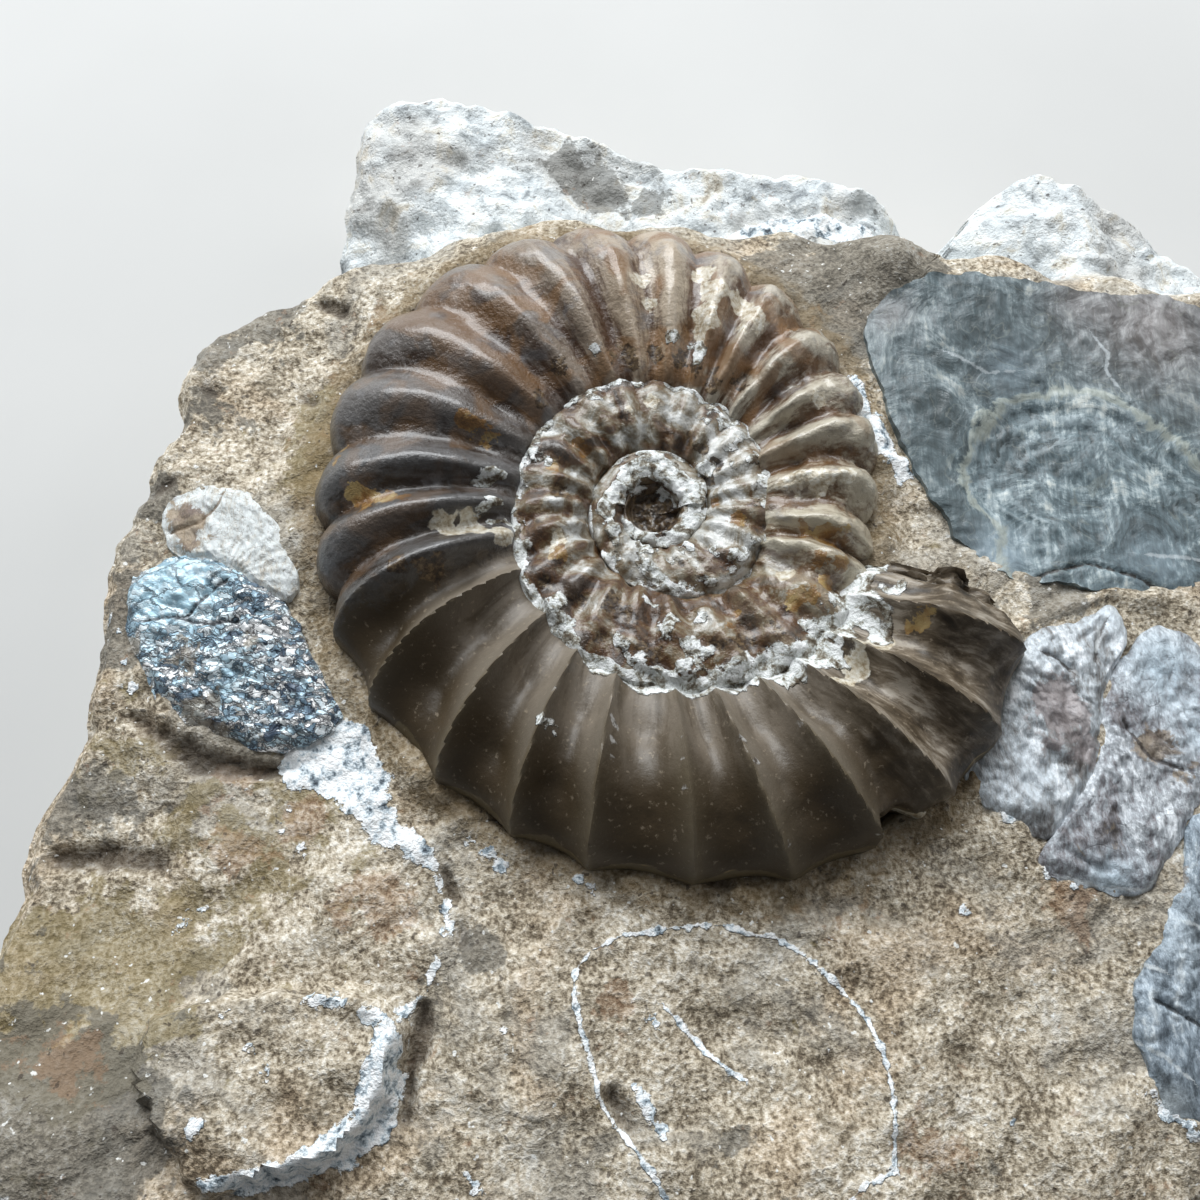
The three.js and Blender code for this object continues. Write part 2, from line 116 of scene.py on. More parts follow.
# Marks on the shell: (angle of growth, place across from the rim 0 to the seam 1, size in millimetres).
WHITE_CRUST = (
    (290, 0.92, 0.4), (296, 0.9, 0.55), (302, 0.88, 0.7), (308, 0.87, 0.8), (314, 0.86, 0.9), (320, 0.85, 1.0),
    (326, 0.84, 1.0), (331, 0.82, 0.9), (335, 0.8, 0.8), (328, 0.92, 0.9), (318, 0.93, 0.8), (322, 0.76, 0.3),
    (-201, 0.32, 0.57), (-193, 0.24, 0.46), (-180, 0.26, 0.46), (-170, 0.31, 0.46), (-159, 0.33, 0.4),
    (-253, 0.2, 0.4), (-263, 0.29, 0.29), (-241, 0.3, 0.29), (-292, 0.28, 0.34), (-300, 0.39, 0.4),
    (-310, 0.39, 0.51), (-322, 0.41, 0.69), (-335, 0.41, 0.69), (-349, 0.37, 0.57), (-361, 0.32, 0.46),
    (-372, 0.28, 0.46), (-383, 0.3, 0.57), (-394, 0.33, 0.51), (-322, 0.82, 0.34), (-534, 0.53, 0.51),
    (-507, 0.56, 0.46), (-164, 0.88, 0.4), (-461, 0.7, 0.51), (-453, 0.49, 0.57), (-439, 0.59, 0.46),
    (-414, 0.7, 0.51), (-403, 0.57, 0.57), (-396, 0.43, 0.51), (-421, 0.39, 0.4), (-447, 0.33, 0.51),
    (-432, 0.29, 0.46), (-417, 0.28, 0.51), (-404, 0.26, 0.51), (-94, 0.72, 0.29), (-104, 0.41, 0.34),
    (-95, 0.32, 0.51), (-83, 0.35, 0.46), (-79, 0.49, 0.34), (-75, 0.42, 0.34), (-66, 0.32, 0.46), (-60, 0.32, 0.4),
    (-53, 0.28, 0.4), (-72, 0.66, 0.34), (-86, 0.58, 0.4), (-130, 0.37, 0.29), (-120, 0.35, 0.29),
    (-107, 0.22, 0.34), (246, 0.54, 0.48), (260, 0.7, 0.24), (84, 0.7, 0.36), (74, 0.73, 0.3), (112, 0.76, 0.3),
    (173, 0.82, 0.4), (183, 0.8, 0.36), (188, 0.88, 0.3),
)
PALE_SHELL = (
    (78, 0.37, 0.8), (75, 0.46, 0.91), (74, 0.57, 0.74), (75, 0.67, 0.51), (67, 0.41, 0.69), (62, 0.46, 0.57),
    (63, 0.57, 0.51), (92, 0.47, 0.46), (91, 0.58, 0.4), (191, 0.76, 0.8), (192, 0.68, 0.69), (196, 0.85, 0.57),
    (189, 0.62, 0.46), (32, 0.49, 0.57), (7, 0.75, 0.69), (4, 0.58, 0.69), (6, 0.41, 0.46), (-268, 0.46, 0.5),
    (-256, 0.53, 0.35), (-311, 0.47, 0.3), (-153, 0.56, 0.51), (316, 0.76, 0.8), (322, 0.74, 0.57),
    (310, 0.75, 0.46), (-34, 0.66, 0.57), (304, 0.03, 0.8), (307, 0.02, 0.7),
)
AMBER_WINDOWS = (
    (181, 0.31, 0.6), (182, 0.37, 0.66), (182, 0.44, 0.66), (183, 0.5, 0.5), (158, 0.65, 0.4), (158, 0.7, 0.5),
    (159, 0.77, 0.46), (174, 0.22, 0.29), (170, 0.2, 0.29), (-218, 0.54, 0.34), (-219, 0.67, 0.29),
    (-198, 0.49, 0.46), (-147, 0.45, 0.4), (-148, 0.54, 0.34), (-361, 0.79, 0.34), (-372, 0.55, 0.46),
    (-63, 0.58, 0.4), (-59, 0.62, 0.34), (-41, 0.49, 0.51), (-36, 0.45, 0.57), (-31, 0.39, 0.51), (-25, 0.5, 0.46),
    (-23, 0.36, 0.4), (-15, 0.37, 0.51), (-14, 0.52, 0.51), (-13, 0.67, 0.46), (329, 0.62, 0.6), (328, 0.67, 0.4),
)
# Partly dark cells, partly painted shadow on the umbilical wall near the seam, where it is in shade.
DARK_CELLS_AND_SHADOWS = (
    (-184, 0.59, 0.57), (-166, 0.49, 0.34), (-123, 0.48, 0.51), (-111, 0.6, 0.4), (-140, 0.35, 0.34),
    (-110, 0.37, 0.4), (-96, 0.41, 0.51), (-91, 0.4, 0.46), (-103, 0.59, 0.4), (-62, 0.44, 0.51), (-57, 0.35, 0.4),
    (-332, 0.83, 0.46), (-309, 0.7, 0.46), (-297, 0.68, 0.34), (-327, 0.68, 0.4), (-428, 0.55, 0.29),
    (-415, 0.5, 0.29), (73, 0.8, 0.34), (80, 0.8, 0.46), (89, 0.8, 0.4), (98, 0.8, 0.51), (105, 0.8, 0.34),
    (65, 0.82, 0.4), (124, 0.76, 0.51), (201, 0.53, 0.46), (202, 0.59, 0.51), (200, 0.46, 0.46), (56, 0.78, 0.4),
    (138, 0.82, 0.34), (-71, 0.46, 0.34), (-48, 0.32, 0.4), (-51, 0.43, 0.34),
)
FLECKS = (
    (259.8, 0.68, 0.28), (260.2, 0.6, 0.22), (260.4, 0.53, 0.16), (274.2, 0.64, 0.12), (274, 0.57, 0.14),
    (273.5, 0.46, 0.14), (285.6, 0.62, 0.22), (286.6, 0.54, 0.2), (288, 0.23, 0.16), (297, 0.63, 0.16),
    (245, 0.66, 0.14), (300, 0.16, 0.12),
)

# The slab, in millimetres from the coil's pole.
GROUND = 18.0
SHELF_DROP = 5.0
SLAB_MIDDLE = (6.0, -3.0)
SLAB_OUTLINE = (
    (-22.4, 17), (-25.9, 15.6), (-28.7, 13), (-29.7, 9.5), (-29.6, 6.5), (-30.4, 2.6), (-31.8, -1), (-32.6, -5),
    (-32.4, -10.5), (-33, -15), (-34.1, -19), (-34.2, -23), (-35.3, -29), (-33.5, -36), (-26, -39.5), (-14, -40.5),
    (0, -39), (13, -40), (26, -38), (35, -33), (41, -24), (45.5, -12), (47, 0), (45.5, 11), (41, 20), (36, 24.5),
    (32, 26.8), (27.6, 28), (24, 26.5), (20.5, 23.6), (17.5, 27), (14.5, 28.5), (7, 29.4), (0, 30.8), (-5, 33),
    (-10, 34.6), (-15, 35.6), (-20.4, 34.4), (-21.2, 27),
)
SHELF_EDGE = (
    (-40, 13), (-24, 15.5), (-16, 18.5), (-8, 20.8), (3, 20.6), (12, 20), (19, 18.6), (27, 17), (36, 15.6),
    (56, 13),
)
FRONT_BLOCK_OUTLINE = (
    (-25.6, -30), (-24.2, -27.2), (-17, -26.5), (-13.3, -27.3), (-12.9, -29.8), (-14.5, -33), (-17.8, -34.8),
    (-22.4, -35.4),
)
FLAT_AMMONITE_OUTLINE = (
    (14, 13.5), (14.2, 8), (16, 2), (19.3, -3), (24, -4.3), (30, -4.6), (36, -3.4), (40.5, 1), (41.6, 6.5),
    (38.6, 11.6), (33, 14.2), (26, 15.2), (19, 15.9),
)
NACRE_OUTLINE = (
    (-30, -4.6), (-28.1, -3.3), (-25.2, -3.3), (-23.1, -4.5), (-21, -5.9), (-20.1, -7.6), (-18.9, -9.7),
    (-17.8, -11.7), (-17.9, -13), (-19.4, -13.7), (-21.4, -14), (-23.2, -13.5), (-25.3, -12.7), (-27.2, -11.2),
    (-28.6, -9.4), (-29.6, -7.2),
)
FAN_OUTLINE = (
    (-28.4, -0.9), (-27.8, 0.7), (-26.3, 1.3), (-24.6, 1.5), (-22.9, 0.7), (-21.7, -0.7), (-21, -2.5),
    (-20.4, -4.4), (-20.7, -5.6), (-22, -5), (-23.5, -4.1), (-25.3, -3.1), (-27.2, -2.7),
)
SILVER_OUTLINE = (
    (25.8, -5.8), (24.1, -6.7), (21.4, -7.6), (19.9, -9.4), (18.9, -11.6), (18, -13.6), (16.6, -15), (17.2, -16.8),
    (18.6, -18), (20.7, -18.7), (22.3, -16.8), (23.8, -14.5), (24.4, -12.3), (24.8, -10.9), (25.6, -9.3),
    (26.5, -8), (26.4, -6.6),
)
GREY_OUTLINE = (
    (26.9, -8.3), (27.9, -7.2), (29.4, -7.2), (30.6, -8.4), (31.7, -11.4), (31.4, -14.6), (29.4, -16.4),
    (28.4, -17.6), (27.4, -19), (26.4, -20.4), (25.2, -21.6), (22.3, -21.2), (20.2, -20.3), (20.7, -19),
    (22.3, -17), (23.9, -14.6), (24.5, -12.4), (24.9, -11), (25.7, -9.6),
)
CORNER_OUTLINE = (
    (28.5, -17.7), (27.8, -19.8), (27, -21.9), (25.9, -23.9), (24.7, -25.7), (24, -27.5), (24.3, -30),
    (25.1, -31.8), (26.6, -32.9), (30, -32.6), (33.9, -30), (36, -25.5), (35, -20.5), (32, -17.2),
)
# Edge of the inner whorl of the flattened ammonite.
FLAT_WHORL_OUTLINE = (
    (20.7, -5), (20.1, -2.8), (20.3, -0.9), (18.8, 0.7), (18.4, 2.6), (19.9, 5.9), (22.3, 7.6), (24.7, 7.7),
    (27.7, 7.3), (30.1, 5.6), (32.4, 3.3), (34.5, 0.5), (36, -6), (33, -12), (26, -13), (21.5, -9),
)
# Tints and lines on the crushed shells: (x, y, width, share) for the tints.
SHELL_MARKS = {
    "slate_shell": {
        "pale": ((20, -2.6, 1.7, 0.9), (22, 9.6, 1.6, 0.4), (29, -3.4, 2.2, 0.4)),
        "brown": ((31.5, 13, 4.6, 0.9), (26.5, 14.5, 2, 0.4), (15, 13.5, 1.4, 0.5)),
        "cracks": (((20.7, -4.9), (22.6, -3.7), (25, -3.2), (27.2, -3.8), (29.8, -5), (30.8, -5.6)),),
        "scratches": (((27.5, 11.8), (28.1, 10.6), (27.8, 9.4), (28.4, 8.2)),
                      ((18.3, 10.4), (20.6, 9.2), (22.2, 9.4)), ((28.6, -2.6), (31.6, -2.8), (34.5, -2.9))),
    },
    "nacre": {
        "pale": ((-27.2, -5, 2.8, 1.2), (-23.6, -10.3, 1.5, 0.5)),
        "brown": ((-25.9, -9, 1.2, 0.7), (-24.5, -12.4, 1.8, 0.8), (-22.4, -8, 0.8, 0.6), (-29.9, -8.6, 1.2, 0.7)),
        "cracks": (((-28.6, -6.9), (-27, -6.7), (-25.2, -7.2), (-23.4, -7)),
                   ((-26.4, -6.8), (-25.2, -5.4), (-24.2, -4.6))),
        "scratches": (),
    },
    "fan": {
        "pale": ((-23.6, -1, 3, 0.7),),
        "brown": ((-27, -0.5, 1.2, 1), (-26.7, -2.3, 0.7, 0.7)),
        "cracks": (((-28, -1.4), (-26.4, -0.9), (-25.4, 0.3), (-25.2, 1.2)),),
        "scratches": (),
    },
    "silver": {
        "pale": ((25.3, -6.6, 1.3, 1), (18.9, -16, 1.9, 1), (21.4, -8.8, 0.9, 0.5)),
        "brown": ((21.8, -11.6, 1.7, 0.9), (23.3, -14.3, 1.2, 0.7), (21.2, -14.2, 1.3, 0.5)),
        "cracks": (((21.6, -8.8), (22.4, -9.1), (22.9, -9.7)), ((24.4, -9.2), (24.6, -8), (25.4, -6.8))),
        "scratches": (((25.9, -6), (24.9, -7.2), (24.5, -8.6)),),
    },
    "grey": {
        "pale": ((28.4, -9.6, 2.3, 1), (23.6, -21, 1.4, 0.9), (29.6, -13.4, 1.4, 0.6)),
        "brown": ((27, -13.8, 1.1, 1), (23, -18.3, 1.5, 0.35), (29, -15.1, 1.5, 0.5)),
        "cracks": (((25.4, -12.6), (26.6, -14.6), (28.6, -15.4)),),
        "scratches": (((21.2, -20.9), (23, -21.4), (25.4, -21.6), (26.1, -20.6)),),
    },
    "corner": {
        "pale": ((25, -32, 1.0, 1), (28.4, -24, 2.4, 0.3)),
        "brown": ((27.5, -21, 2, 0.4),),
        "cracks": (((25, -27), (27.6, -28.4), (30.6, -28.8)),),
        "scratches": (((23.9, -29), (25.1, -29.7), (26.1, -30.6)), ((24.4, -25.1), (25.5, -25.6)),
                      ((27, -23.2), (28.8, -23.9))),
    },
}

# White calcite on the bedding: (x, y, half width) along each streak.
CALCITE_STREAKS = (
    ((-19.4, -15, 1.2), (-17.2, -14.6, 2.1), (-15.7, -16.4, 1.5), (-15.2, -17.6, 1.0), (-13.2, -19.2, 0.6),
     (-12, -20.2, 0.3)),
    ((-12, -20.2, 0.25), (-11.2, -21.9, 0.12), (-10.9, -23.7, 0.12), (-11.2, -24.7, 0.1), (-11.8, -26.2, 0.1),
     (-12.6, -27.4, 0.15), (-13.5, -27.9, 0.3), (-13.6, -29.5, 0.8), (-13.8, -31.5, 0.85), (-14.4, -32.9, 0.95),
     (-15.6, -33.8, 0.85), (-17.3, -34.5, 0.75), (-20, -35.1, 0.6), (-21.5, -35.2, 0.4)),
    ((-18.4, -26.9, 0.08), (-16.9, -27, 0.22), (-15.6, -27.3, 0.12), (-13.6, -27.8, 0.2)),
    ((-1.4, -31.1, 0.1), (-0.8, -32.1, 0.28), (0, -33.3, 0.08)),
    ((-9.7, -34.3, 0.1), (-8.8, -35.7, 0.2)),
    ((24.4, -31.4, 0.15), (25.2, -32.3, 0.4), (26.2, -33.2, 0.35)),
    ((19.6, -19.7, 0.2), (20.5, -20.6, 0.35), (22, -21.4, 0.2)),
    ((18, -17, 0.25), (18.5, -17.8, 0.35)),
    ((12.4, 9, 0.3), (12.8, 6.4, 0.6), (13.4, 4.4, 0.9), (14.8, 2.6, 0.6)),
    ((4.4, 22.6, 0.4), (8.6, 23.4, 0.8), (12.1, 23.6, 1.0), (15.4, 22.7, 0.8), (17.6, 21.6, 0.5)),
)
CALCITE_CRUMBS = (
    (-7.8, -28.4, 0.14), (15.8, -22.5, 0.1), (14.6, -23.1, 0.13), (17.1, -32.6, 0.14), (-20.1, -18.3, 0.28),
    (-19.9, -17.2, 0.14), (-19, -19.5, 0.32), (-15.5, -25.5, 0.18), (-10, -18.9, 0.26), (-9.2, -19.7, 0.32),
    (-8.4, -20.4, 0.2), (-4.4, -21, 0.26), (-3.5, -21.4, 0.2), (-25.2, -23.6, 0.22), (-24.1, -22.4, 0.26),
    (-19.1, -30.2, 0.26), (-30.3, -5.4, 0.3), (-30.5, -7.3, 0.3), (-29.8, -9.2, 0.28), (-31, -6.4, 0.2),
    (-28.9, -10.6, 0.25), (-22.2, -32.7, 0.36), (-20.2, -29.3, 0.2), (-21.6, -27.6, 0.2), (-0.1, -28, 0.14),
    (-0.6, -27.7, 0.1),
)
# Thin white lines in the bedding.
CALCITE_LINES = (
    ((0, -36), (-0.6, -35), (-1.4, -33.9), (-2.2, -33), (-3, -31.9), (-3.3, -30.8), (-3.7, -29.4), (-4.1, -28.2),
     (-4.5, -26.8),
     (-4.4, -25.6), (-4.1, -25.2), (-3.6, -24.6), (-2.6, -24.1), (-1.9, -23.8), (-0.5, -23.7), (0.8, -23.4),
     (3.2, -23.3),
     (4.5, -23.8), (5.8, -23.9), (6.8, -24.4), (7.8, -25.2), (8.9, -26.1), (9.8, -27.2), (10.6, -28.4), (11, -29.6),
     (11.2, -31.1), (11.2, -33.9), (11.2, -34.8), (10.2, -35.1), (9.4, -35.4), (8.8, -36)),
    ((0.2, -27.4), (1.4, -28.6), (2.4, -29.6), (3.8, -30.6)),
)
# Hollows painted dark, partly for dark earth and partly as painted shadow under the nacre and beside the front block:
# (x, y, half width) along each, and how deep it is.
DARK_HOLLOWS = (
    (((-29, -12.2, 0.3), (-26.6, -13.7, 0.6), (-24.9, -14.7, 0.7), (-22.1, -15.2, 0.5), (-20, -14.9, 0.3)), 0.7),
    (((-11.3, -20.8, 0.3), (-10.7, -21.9, 0.4)), 0.6),
    (((-10.4, -23.4, 0.2), (-10.2, -24.1, 0.35)), 0.7),
    (((-12, -27.4, 0.3), (-12, -28.6, 0.6), (-12.5, -30.4, 0.3), (-12.7, -32.3, 0.4)), 0.6),
    (((-2.7, -31.3, 0.3), (-2.1, -32.2, 0.35), (-1.6, -33, 0.25)), 0.6),
    (((-31.8, -19.8, 0.6), (-29, -19.7, 0.7), (-26.6, -20.1, 0.5)), 0.5),
    (((-20.8, 14.9, 0.4), (-19.6, 14.3, 0.5)), 0.5),
    (((-27.4, 8.9, 0.35), (-26.9, 8.4, 0.3)), 0.35),
    (((-21.5, 8, 0.3), (-20.7, 7.6, 0.3)), 0.35),
    (((-29.6, 1.6, 0.5), (-28.6, 1.9, 0.5)), 0.3),
    (((-8.6, -17.9, 0.25), (-7.8, -18.1, 0.3)), 0.4),
    (((2.3, -21, 0.3), (3.4, -21.2, 0.25)), 0.4),
)
# Tints of the bedding: (x, y, width, share).
OCHRE_TINT = (
    (-28.5, -27.5, 4.5, 1), (-32, -26, 3, 0.7), (-21.5, -19, 5.5, 0.4), (-30, -14, 3, 0.35), (-20, 2, 2.5, 0.6),
    (-20.5, 6.5, 2.2, 0.5),
)
GREY_TINT = (
    (11, 15, 5, 1), (15.5, 16.5, 3.2, 0.9), (-31, -34, 6, 1), (17.5, -7, 3, 0.3), (-24.6, 15.2, 2.6, 0.8),
    (-28, 11.5, 2.2, 0.5), (-26.5, 6.5, 2.4, 0.4), (-9.2, -24.6, 1.2, 0.9), (-30.5, -17, 2.5, 0.5),
    (23, -4.9, 1.9, 0.9), (-26.6, -32.5, 2.4, 0.9), (-3.1, 27.8, 2.4, 0.7), (-6, 29.6, 1.8, 0.5),
    (0.6, 26, 1.4, 0.5), (-30.3, -8, 1.6, 0.9), (-30, -4.4, 1.2, 0.8), (3.2, -33.6, 1.0, 0.6), (7.5, -20.5, 2, 0.3),
    (-30.3, -7, 1.2, 0.6), (-29.6, 1, 1.4, 0.9),
)
RUST_TINT = (
    (-22.5, -19.6, 1.3, 0.8), (-19.1, -17.9, 1.2, 0.8), (-22.9, -15.6, 1.5, 0.5), (-28.9, -29.8, 1.6, 0.6),
    (-14.5, -22.5, 2.2, 0.5), (13, -34, 2, 0.4), (-2.4, -27.4, 1.6, 0.4), (21.5, -22.5, 1.4, 0.5),
    (-16.5, 12.5, 2.5, 0.3),
)


# ---------------------------------------------------------------- laws of the shapes
def smooth(value, low, high):
    share = np.clip((value - low) / (high - low), 0.0, 1.0)
    return share * share * (3 - 2 * share)


def crest_radius(angle):
    """Radius to the rib crests at an angle of growth: a smooth curve through the eighth-turn radii."""
    radii = np.array(CREST_RADII)
    place = np.clip((angle - CORE_ANGLE) / 45, 0, len(radii) - 1)
    i = np.minimum(place.astype(int), len(radii) - 2)
    w = place - i
    before, here = radii[np.maximum(i - 1, 0)], radii[i]
    there, after = radii[i + 1], radii[np.minimum(i + 2, len(radii) - 1)]
    leave, arrive = (there - before) / 2, (after - here) / 2
    cubic = (2 * here - 2 * there + leave + arrive) * w**3 + (3 * there - 3 * here - 2 * leave - arrive) * w**2
    fading = np.exp(0.12 * np.radians(np.minimum(angle - CORE_ANGLE, 0)))
    return (cubic + leave * w + here) * fading


def table(angle, rows):
    angles, values = np.array(rows, float).T
    return np.interp(angle, angles, values)


def rib_number(angle):
    """Counts the ribs from the start of the last turn: whole on a crest, half in a trough."""
    angles = np.array(RIB_ANGLES)
    inner = (angle - angles[0]) * INNER_RIBS_PER_TURN / 360
    outer = np.interp(angle, angles, np.arange(len(angles))) + np.maximum(angle - angles[-1], 0) / 12
    return np.where(angle < angles[0], inner, outer)


def lattice_noise(x, y, size, seed):
    """Smooth noise between -1 and 1 over a plane, with lumps about size across."""
    table = np.random.default_rng(seed).uniform(-1, 1, (64, 64))
    u, v = x / size, y / size
    i, j = np.floor(u).astype(int), np.floor(v).astype(int)
    a, b = u - i, v - j
    a, b = a * a * (3 - 2 * a), b * b * (3 - 2 * b)
    near = table[i % 64, j % 64] * (1 - a) + table[(i + 1) % 64, j % 64] * a
    far = table[i % 64, (j + 1) % 64] * (1 - a) + table[(i + 1) % 64, (j + 1) % 64] * a
    return near * (1 - b) + far * b


def rough(x, y, size, seed, octaves=3):
    total = 0
    for octave in range(octaves):
        total = total + lattice_noise(x + 17 * octave, y - 9 * octave, size / 2**octave, seed + octave) / 2**octave
    return total


def closed_curve(outline, count):
    """Points evenly spaced in parameter on a smooth closed curve through an outline."""
    points = np.array(outline, float)
    n = len(points)
    place = np.arange(count) * n / count
    i = place.astype(int)
    w = (place - i)[:, None]
    p0, p1, p2, p3 = (points[(i + k) % n] for k in (-1, 0, 1, 2))
    return 0.5 * (2 * p1 + (p2 - p0) * w + (2 * p0 - 5 * p1 + 4 * p2 - p3) * w**2 + (3 * p1 - p0 - 3 * p2 + p3) * w**3)


def outline_reach(outline, middle, heading):
    """Distance from a middle point to the outline in the given directions, in radians."""
    points = closed_curve(outline, 720) - np.array(middle)
    order = np.argsort(np.arctan2(points[:, 1], points[:, 0]))
    angles = np.arctan2(points[:, 1], points[:, 0])[order]
    return np.interp(heading, angles, np.hypot(points[:, 0], points[:, 1])[order], period=2 * math.pi)


def inside_outline(x, y, outline):
    """Millimetres inside an outline, negative outside it."""
    middle = closed_curve(outline, 200).mean(0)
    away_x, away_y = x - middle[0], y - middle[1]
    return outline_reach(outline, middle, np.arctan2(away_y, away_x)) - np.hypot(away_x, away_y)


def beyond_streak(x, y, streak):
    """Millimetres from a streak's edge, negative on it."""
    best = np.full(x.shape, 1e3)
    for (x0, y0, w0), (x1, y1, w1) in zip(streak, streak[1:]):
        run_x, run_y = x1 - x0, y1 - y0
        share = np.clip(((x - x0) * run_x + (y - y0) * run_y) / (run_x**2 + run_y**2), 0, 1)
        away = np.hypot(x - x0 - share * run_x, y - y0 - share * run_y)
        best = np.minimum(best, away - (w0 + share * (w1 - w0)))
    return best


def beside_lines(x, y, lines):
    """Millimetres from the nearest line, positive on one side of it and negative on the other."""
    best, side = np.full(x.shape, 9.0), np.ones(x.shape)
    for line in lines:
        for (x0, y0), (x1, y1) in zip(line, line[1:]):
            run_x, run_y = x1 - x0, y1 - y0
            share = np.clip(((x - x0) * run_x + (y - y0) * run_y) / (run_x**2 + run_y**2), 0, 1)
            away = np.hypot(x - x0 - share * run_x, y - y0 - share * run_y)
            side = np.where(away < best, np.sign(run_x * (y - y0) - run_y * (x - x0)), side)
            best = np.minimum(best, away)
    return best * side


def tint(x, y, spots):
    return np.clip(sum(bump(x, y, *spot) for spot in spots), 0, 1)


def bump(x, y, centre_x, centre_y, width, height):
    return height * np.exp(-((x - centre_x) ** 2 + (y - centre_y) ** 2) / width**2)


def bed_height(x, y):
    """Main bedding surface; x and y count from the pole."""
    wx, wy = x + POLE[0], y + POLE[1]
    waves = 0.35 * np.sin(0.19 * wx + 1.1) * np.cos(0.16 * wy - 0.4) + 0.2 * np.sin(0.41 * wx - 0.23 * wy)
    lumps = bump(x, y, 15.5, 18, 2.6, 1.4) + bump(x, y, -31, -34, 7, 3) - bump(x, y, -30, -19, 4, 1.3)
    slopes = bump(x, y, 36, -36, 14, -2) + bump(x, y, 46, 4, 12, -1.5) + bump(x, y, -26, 14, 6, -1)
    return GROUND + waves + lumps + slopes


def shelf_height(x, y):
    wx, wy = x + POLE[0], y + POLE[1]
    waves = 0.5 * np.sin(0.31 * wx + 0.6) + 0.4 * np.cos(0.37 * wy + 0.2 * wx)
    crests = bump(x, y, 28, 24, 5, 2.2) + bump(x, y, -15, 30, 9, 1.2) - bump(x, y, 20, 24, 3, 1.5)
    return GROUND - SHELF_DROP + waves + crests


def behind_shelf_edge(x, y):
    edge_x, edge_y = np.array(SHELF_EDGE, float).T
    return y - np.interp(x, edge_x, edge_y) - 0.4 * np.sin(0.9 * x)


def growth_angle(x, y):
    """Angle of growth of the last turn above a point, between one turn back from the mouth and the mouth."""
    return (np.degrees(np.arctan2(y, x)) - MOUTH_ANGLE) % 360 + MOUTH_ANGLE - 360


# ---------------------------------------------------------------- making meshes
def only(piece):
    bpy.ops.object.select_all(action="DESELECT")
    bpy.context.view_layer.objects.active = piece
    piece.select_set(True)


def new_grid(name, along, across):
    """A flat grid to be shaped, and each point's place on it from 0 to 1."""
    bpy.ops.object.select_all(action="DESELECT")
    bpy.ops.mesh.primitive_grid_add(x_subdivisions=along, y_subdivisions=across, size=2)
    piece = bpy.context.active_object
    piece.name = name
    piece.data.name = name
    flat = np.empty(len(piece.data.vertices) * 3)
    piece.data.vertices.foreach_get("co", flat)
    flat = flat.reshape(-1, 3)
    return piece, (flat[:, 0] + 1) / 2, (flat[:, 1] + 1) / 2


def set_points(piece, x, y, z):
    """Moves the points to x, y from the pole and z up, given in millimetres, kept inside the solids' own box."""
    points = np.column_stack((x + POLE[0], y + POLE[1], z)) * MM
    low, high = np.array(cad_low) + BOX_MARGIN * MM, np.array(cad_high) - BOX_MARGIN * MM
    low[2] = cad_low[2]
    points = np.clip(points, low, high)
    piece.data.vertices.foreach_set("co", points.ravel())
    piece.data.update()


def set_masks(piece, **masks):
    """Stores one value at each point under each name, for the materials to read."""
    for name, values in masks.items():
        layer = piece.data.attributes.new(name, "FLOAT", "POINT")
        layer.data.foreach_set("value", np.ascontiguousarray(values, dtype=np.float32))


def close_and_shade(piece, merge):
    only(piece)
    bpy.ops.object.mode_set(mode="EDIT")
    bpy.ops.mesh.select_all(action="SELECT")
    if merge:
        bpy.ops.mesh.remove_doubles(threshold=1e-7)
    bpy.ops.mesh.select_all(action="DESELECT")
    bpy.ops.mesh.select_mode(type="EDGE")
    bpy.ops.mesh.select_non_manifold()
    bpy.ops.mesh.fill_holes(sides=0)
    bpy.ops.mesh.select_all(action="SELECT")
    bpy.ops.mesh.normals_make_consistent(inside=False)
    bpy.ops.mesh.select_mode(type="VERT")
    bpy.ops.object.mode_set(mode="OBJECT")
    bpy.ops.object.shade_smooth_by_angle(angle=math.radians(50))


def carry(piece, node):
    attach(piece, "root")
    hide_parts(node)


def square_rings(u, v):
    """Square rings round a grid's middle: how far out each point is, from 0 to 1, and its heading."""
    s, t = 2 * u - 1, 2 * v - 1
    out = np.maximum(abs(s), abs(t))
    return out, np.arctan2(t, s)


# ---------------------------------------------------------------- shells and slab
def beyond_marks(angle, across, radius, girth, marks):
    """Millimetres over the shell from the nearest mark's edge, negative on a mark."""
    best = np.full(angle.shape, 9.0)
    for at, place, size in marks:
        away = np.hypot(np.radians(angle - at) * radius, (across - place) * girth) - size
        best = np.minimum(best, away)
    return best


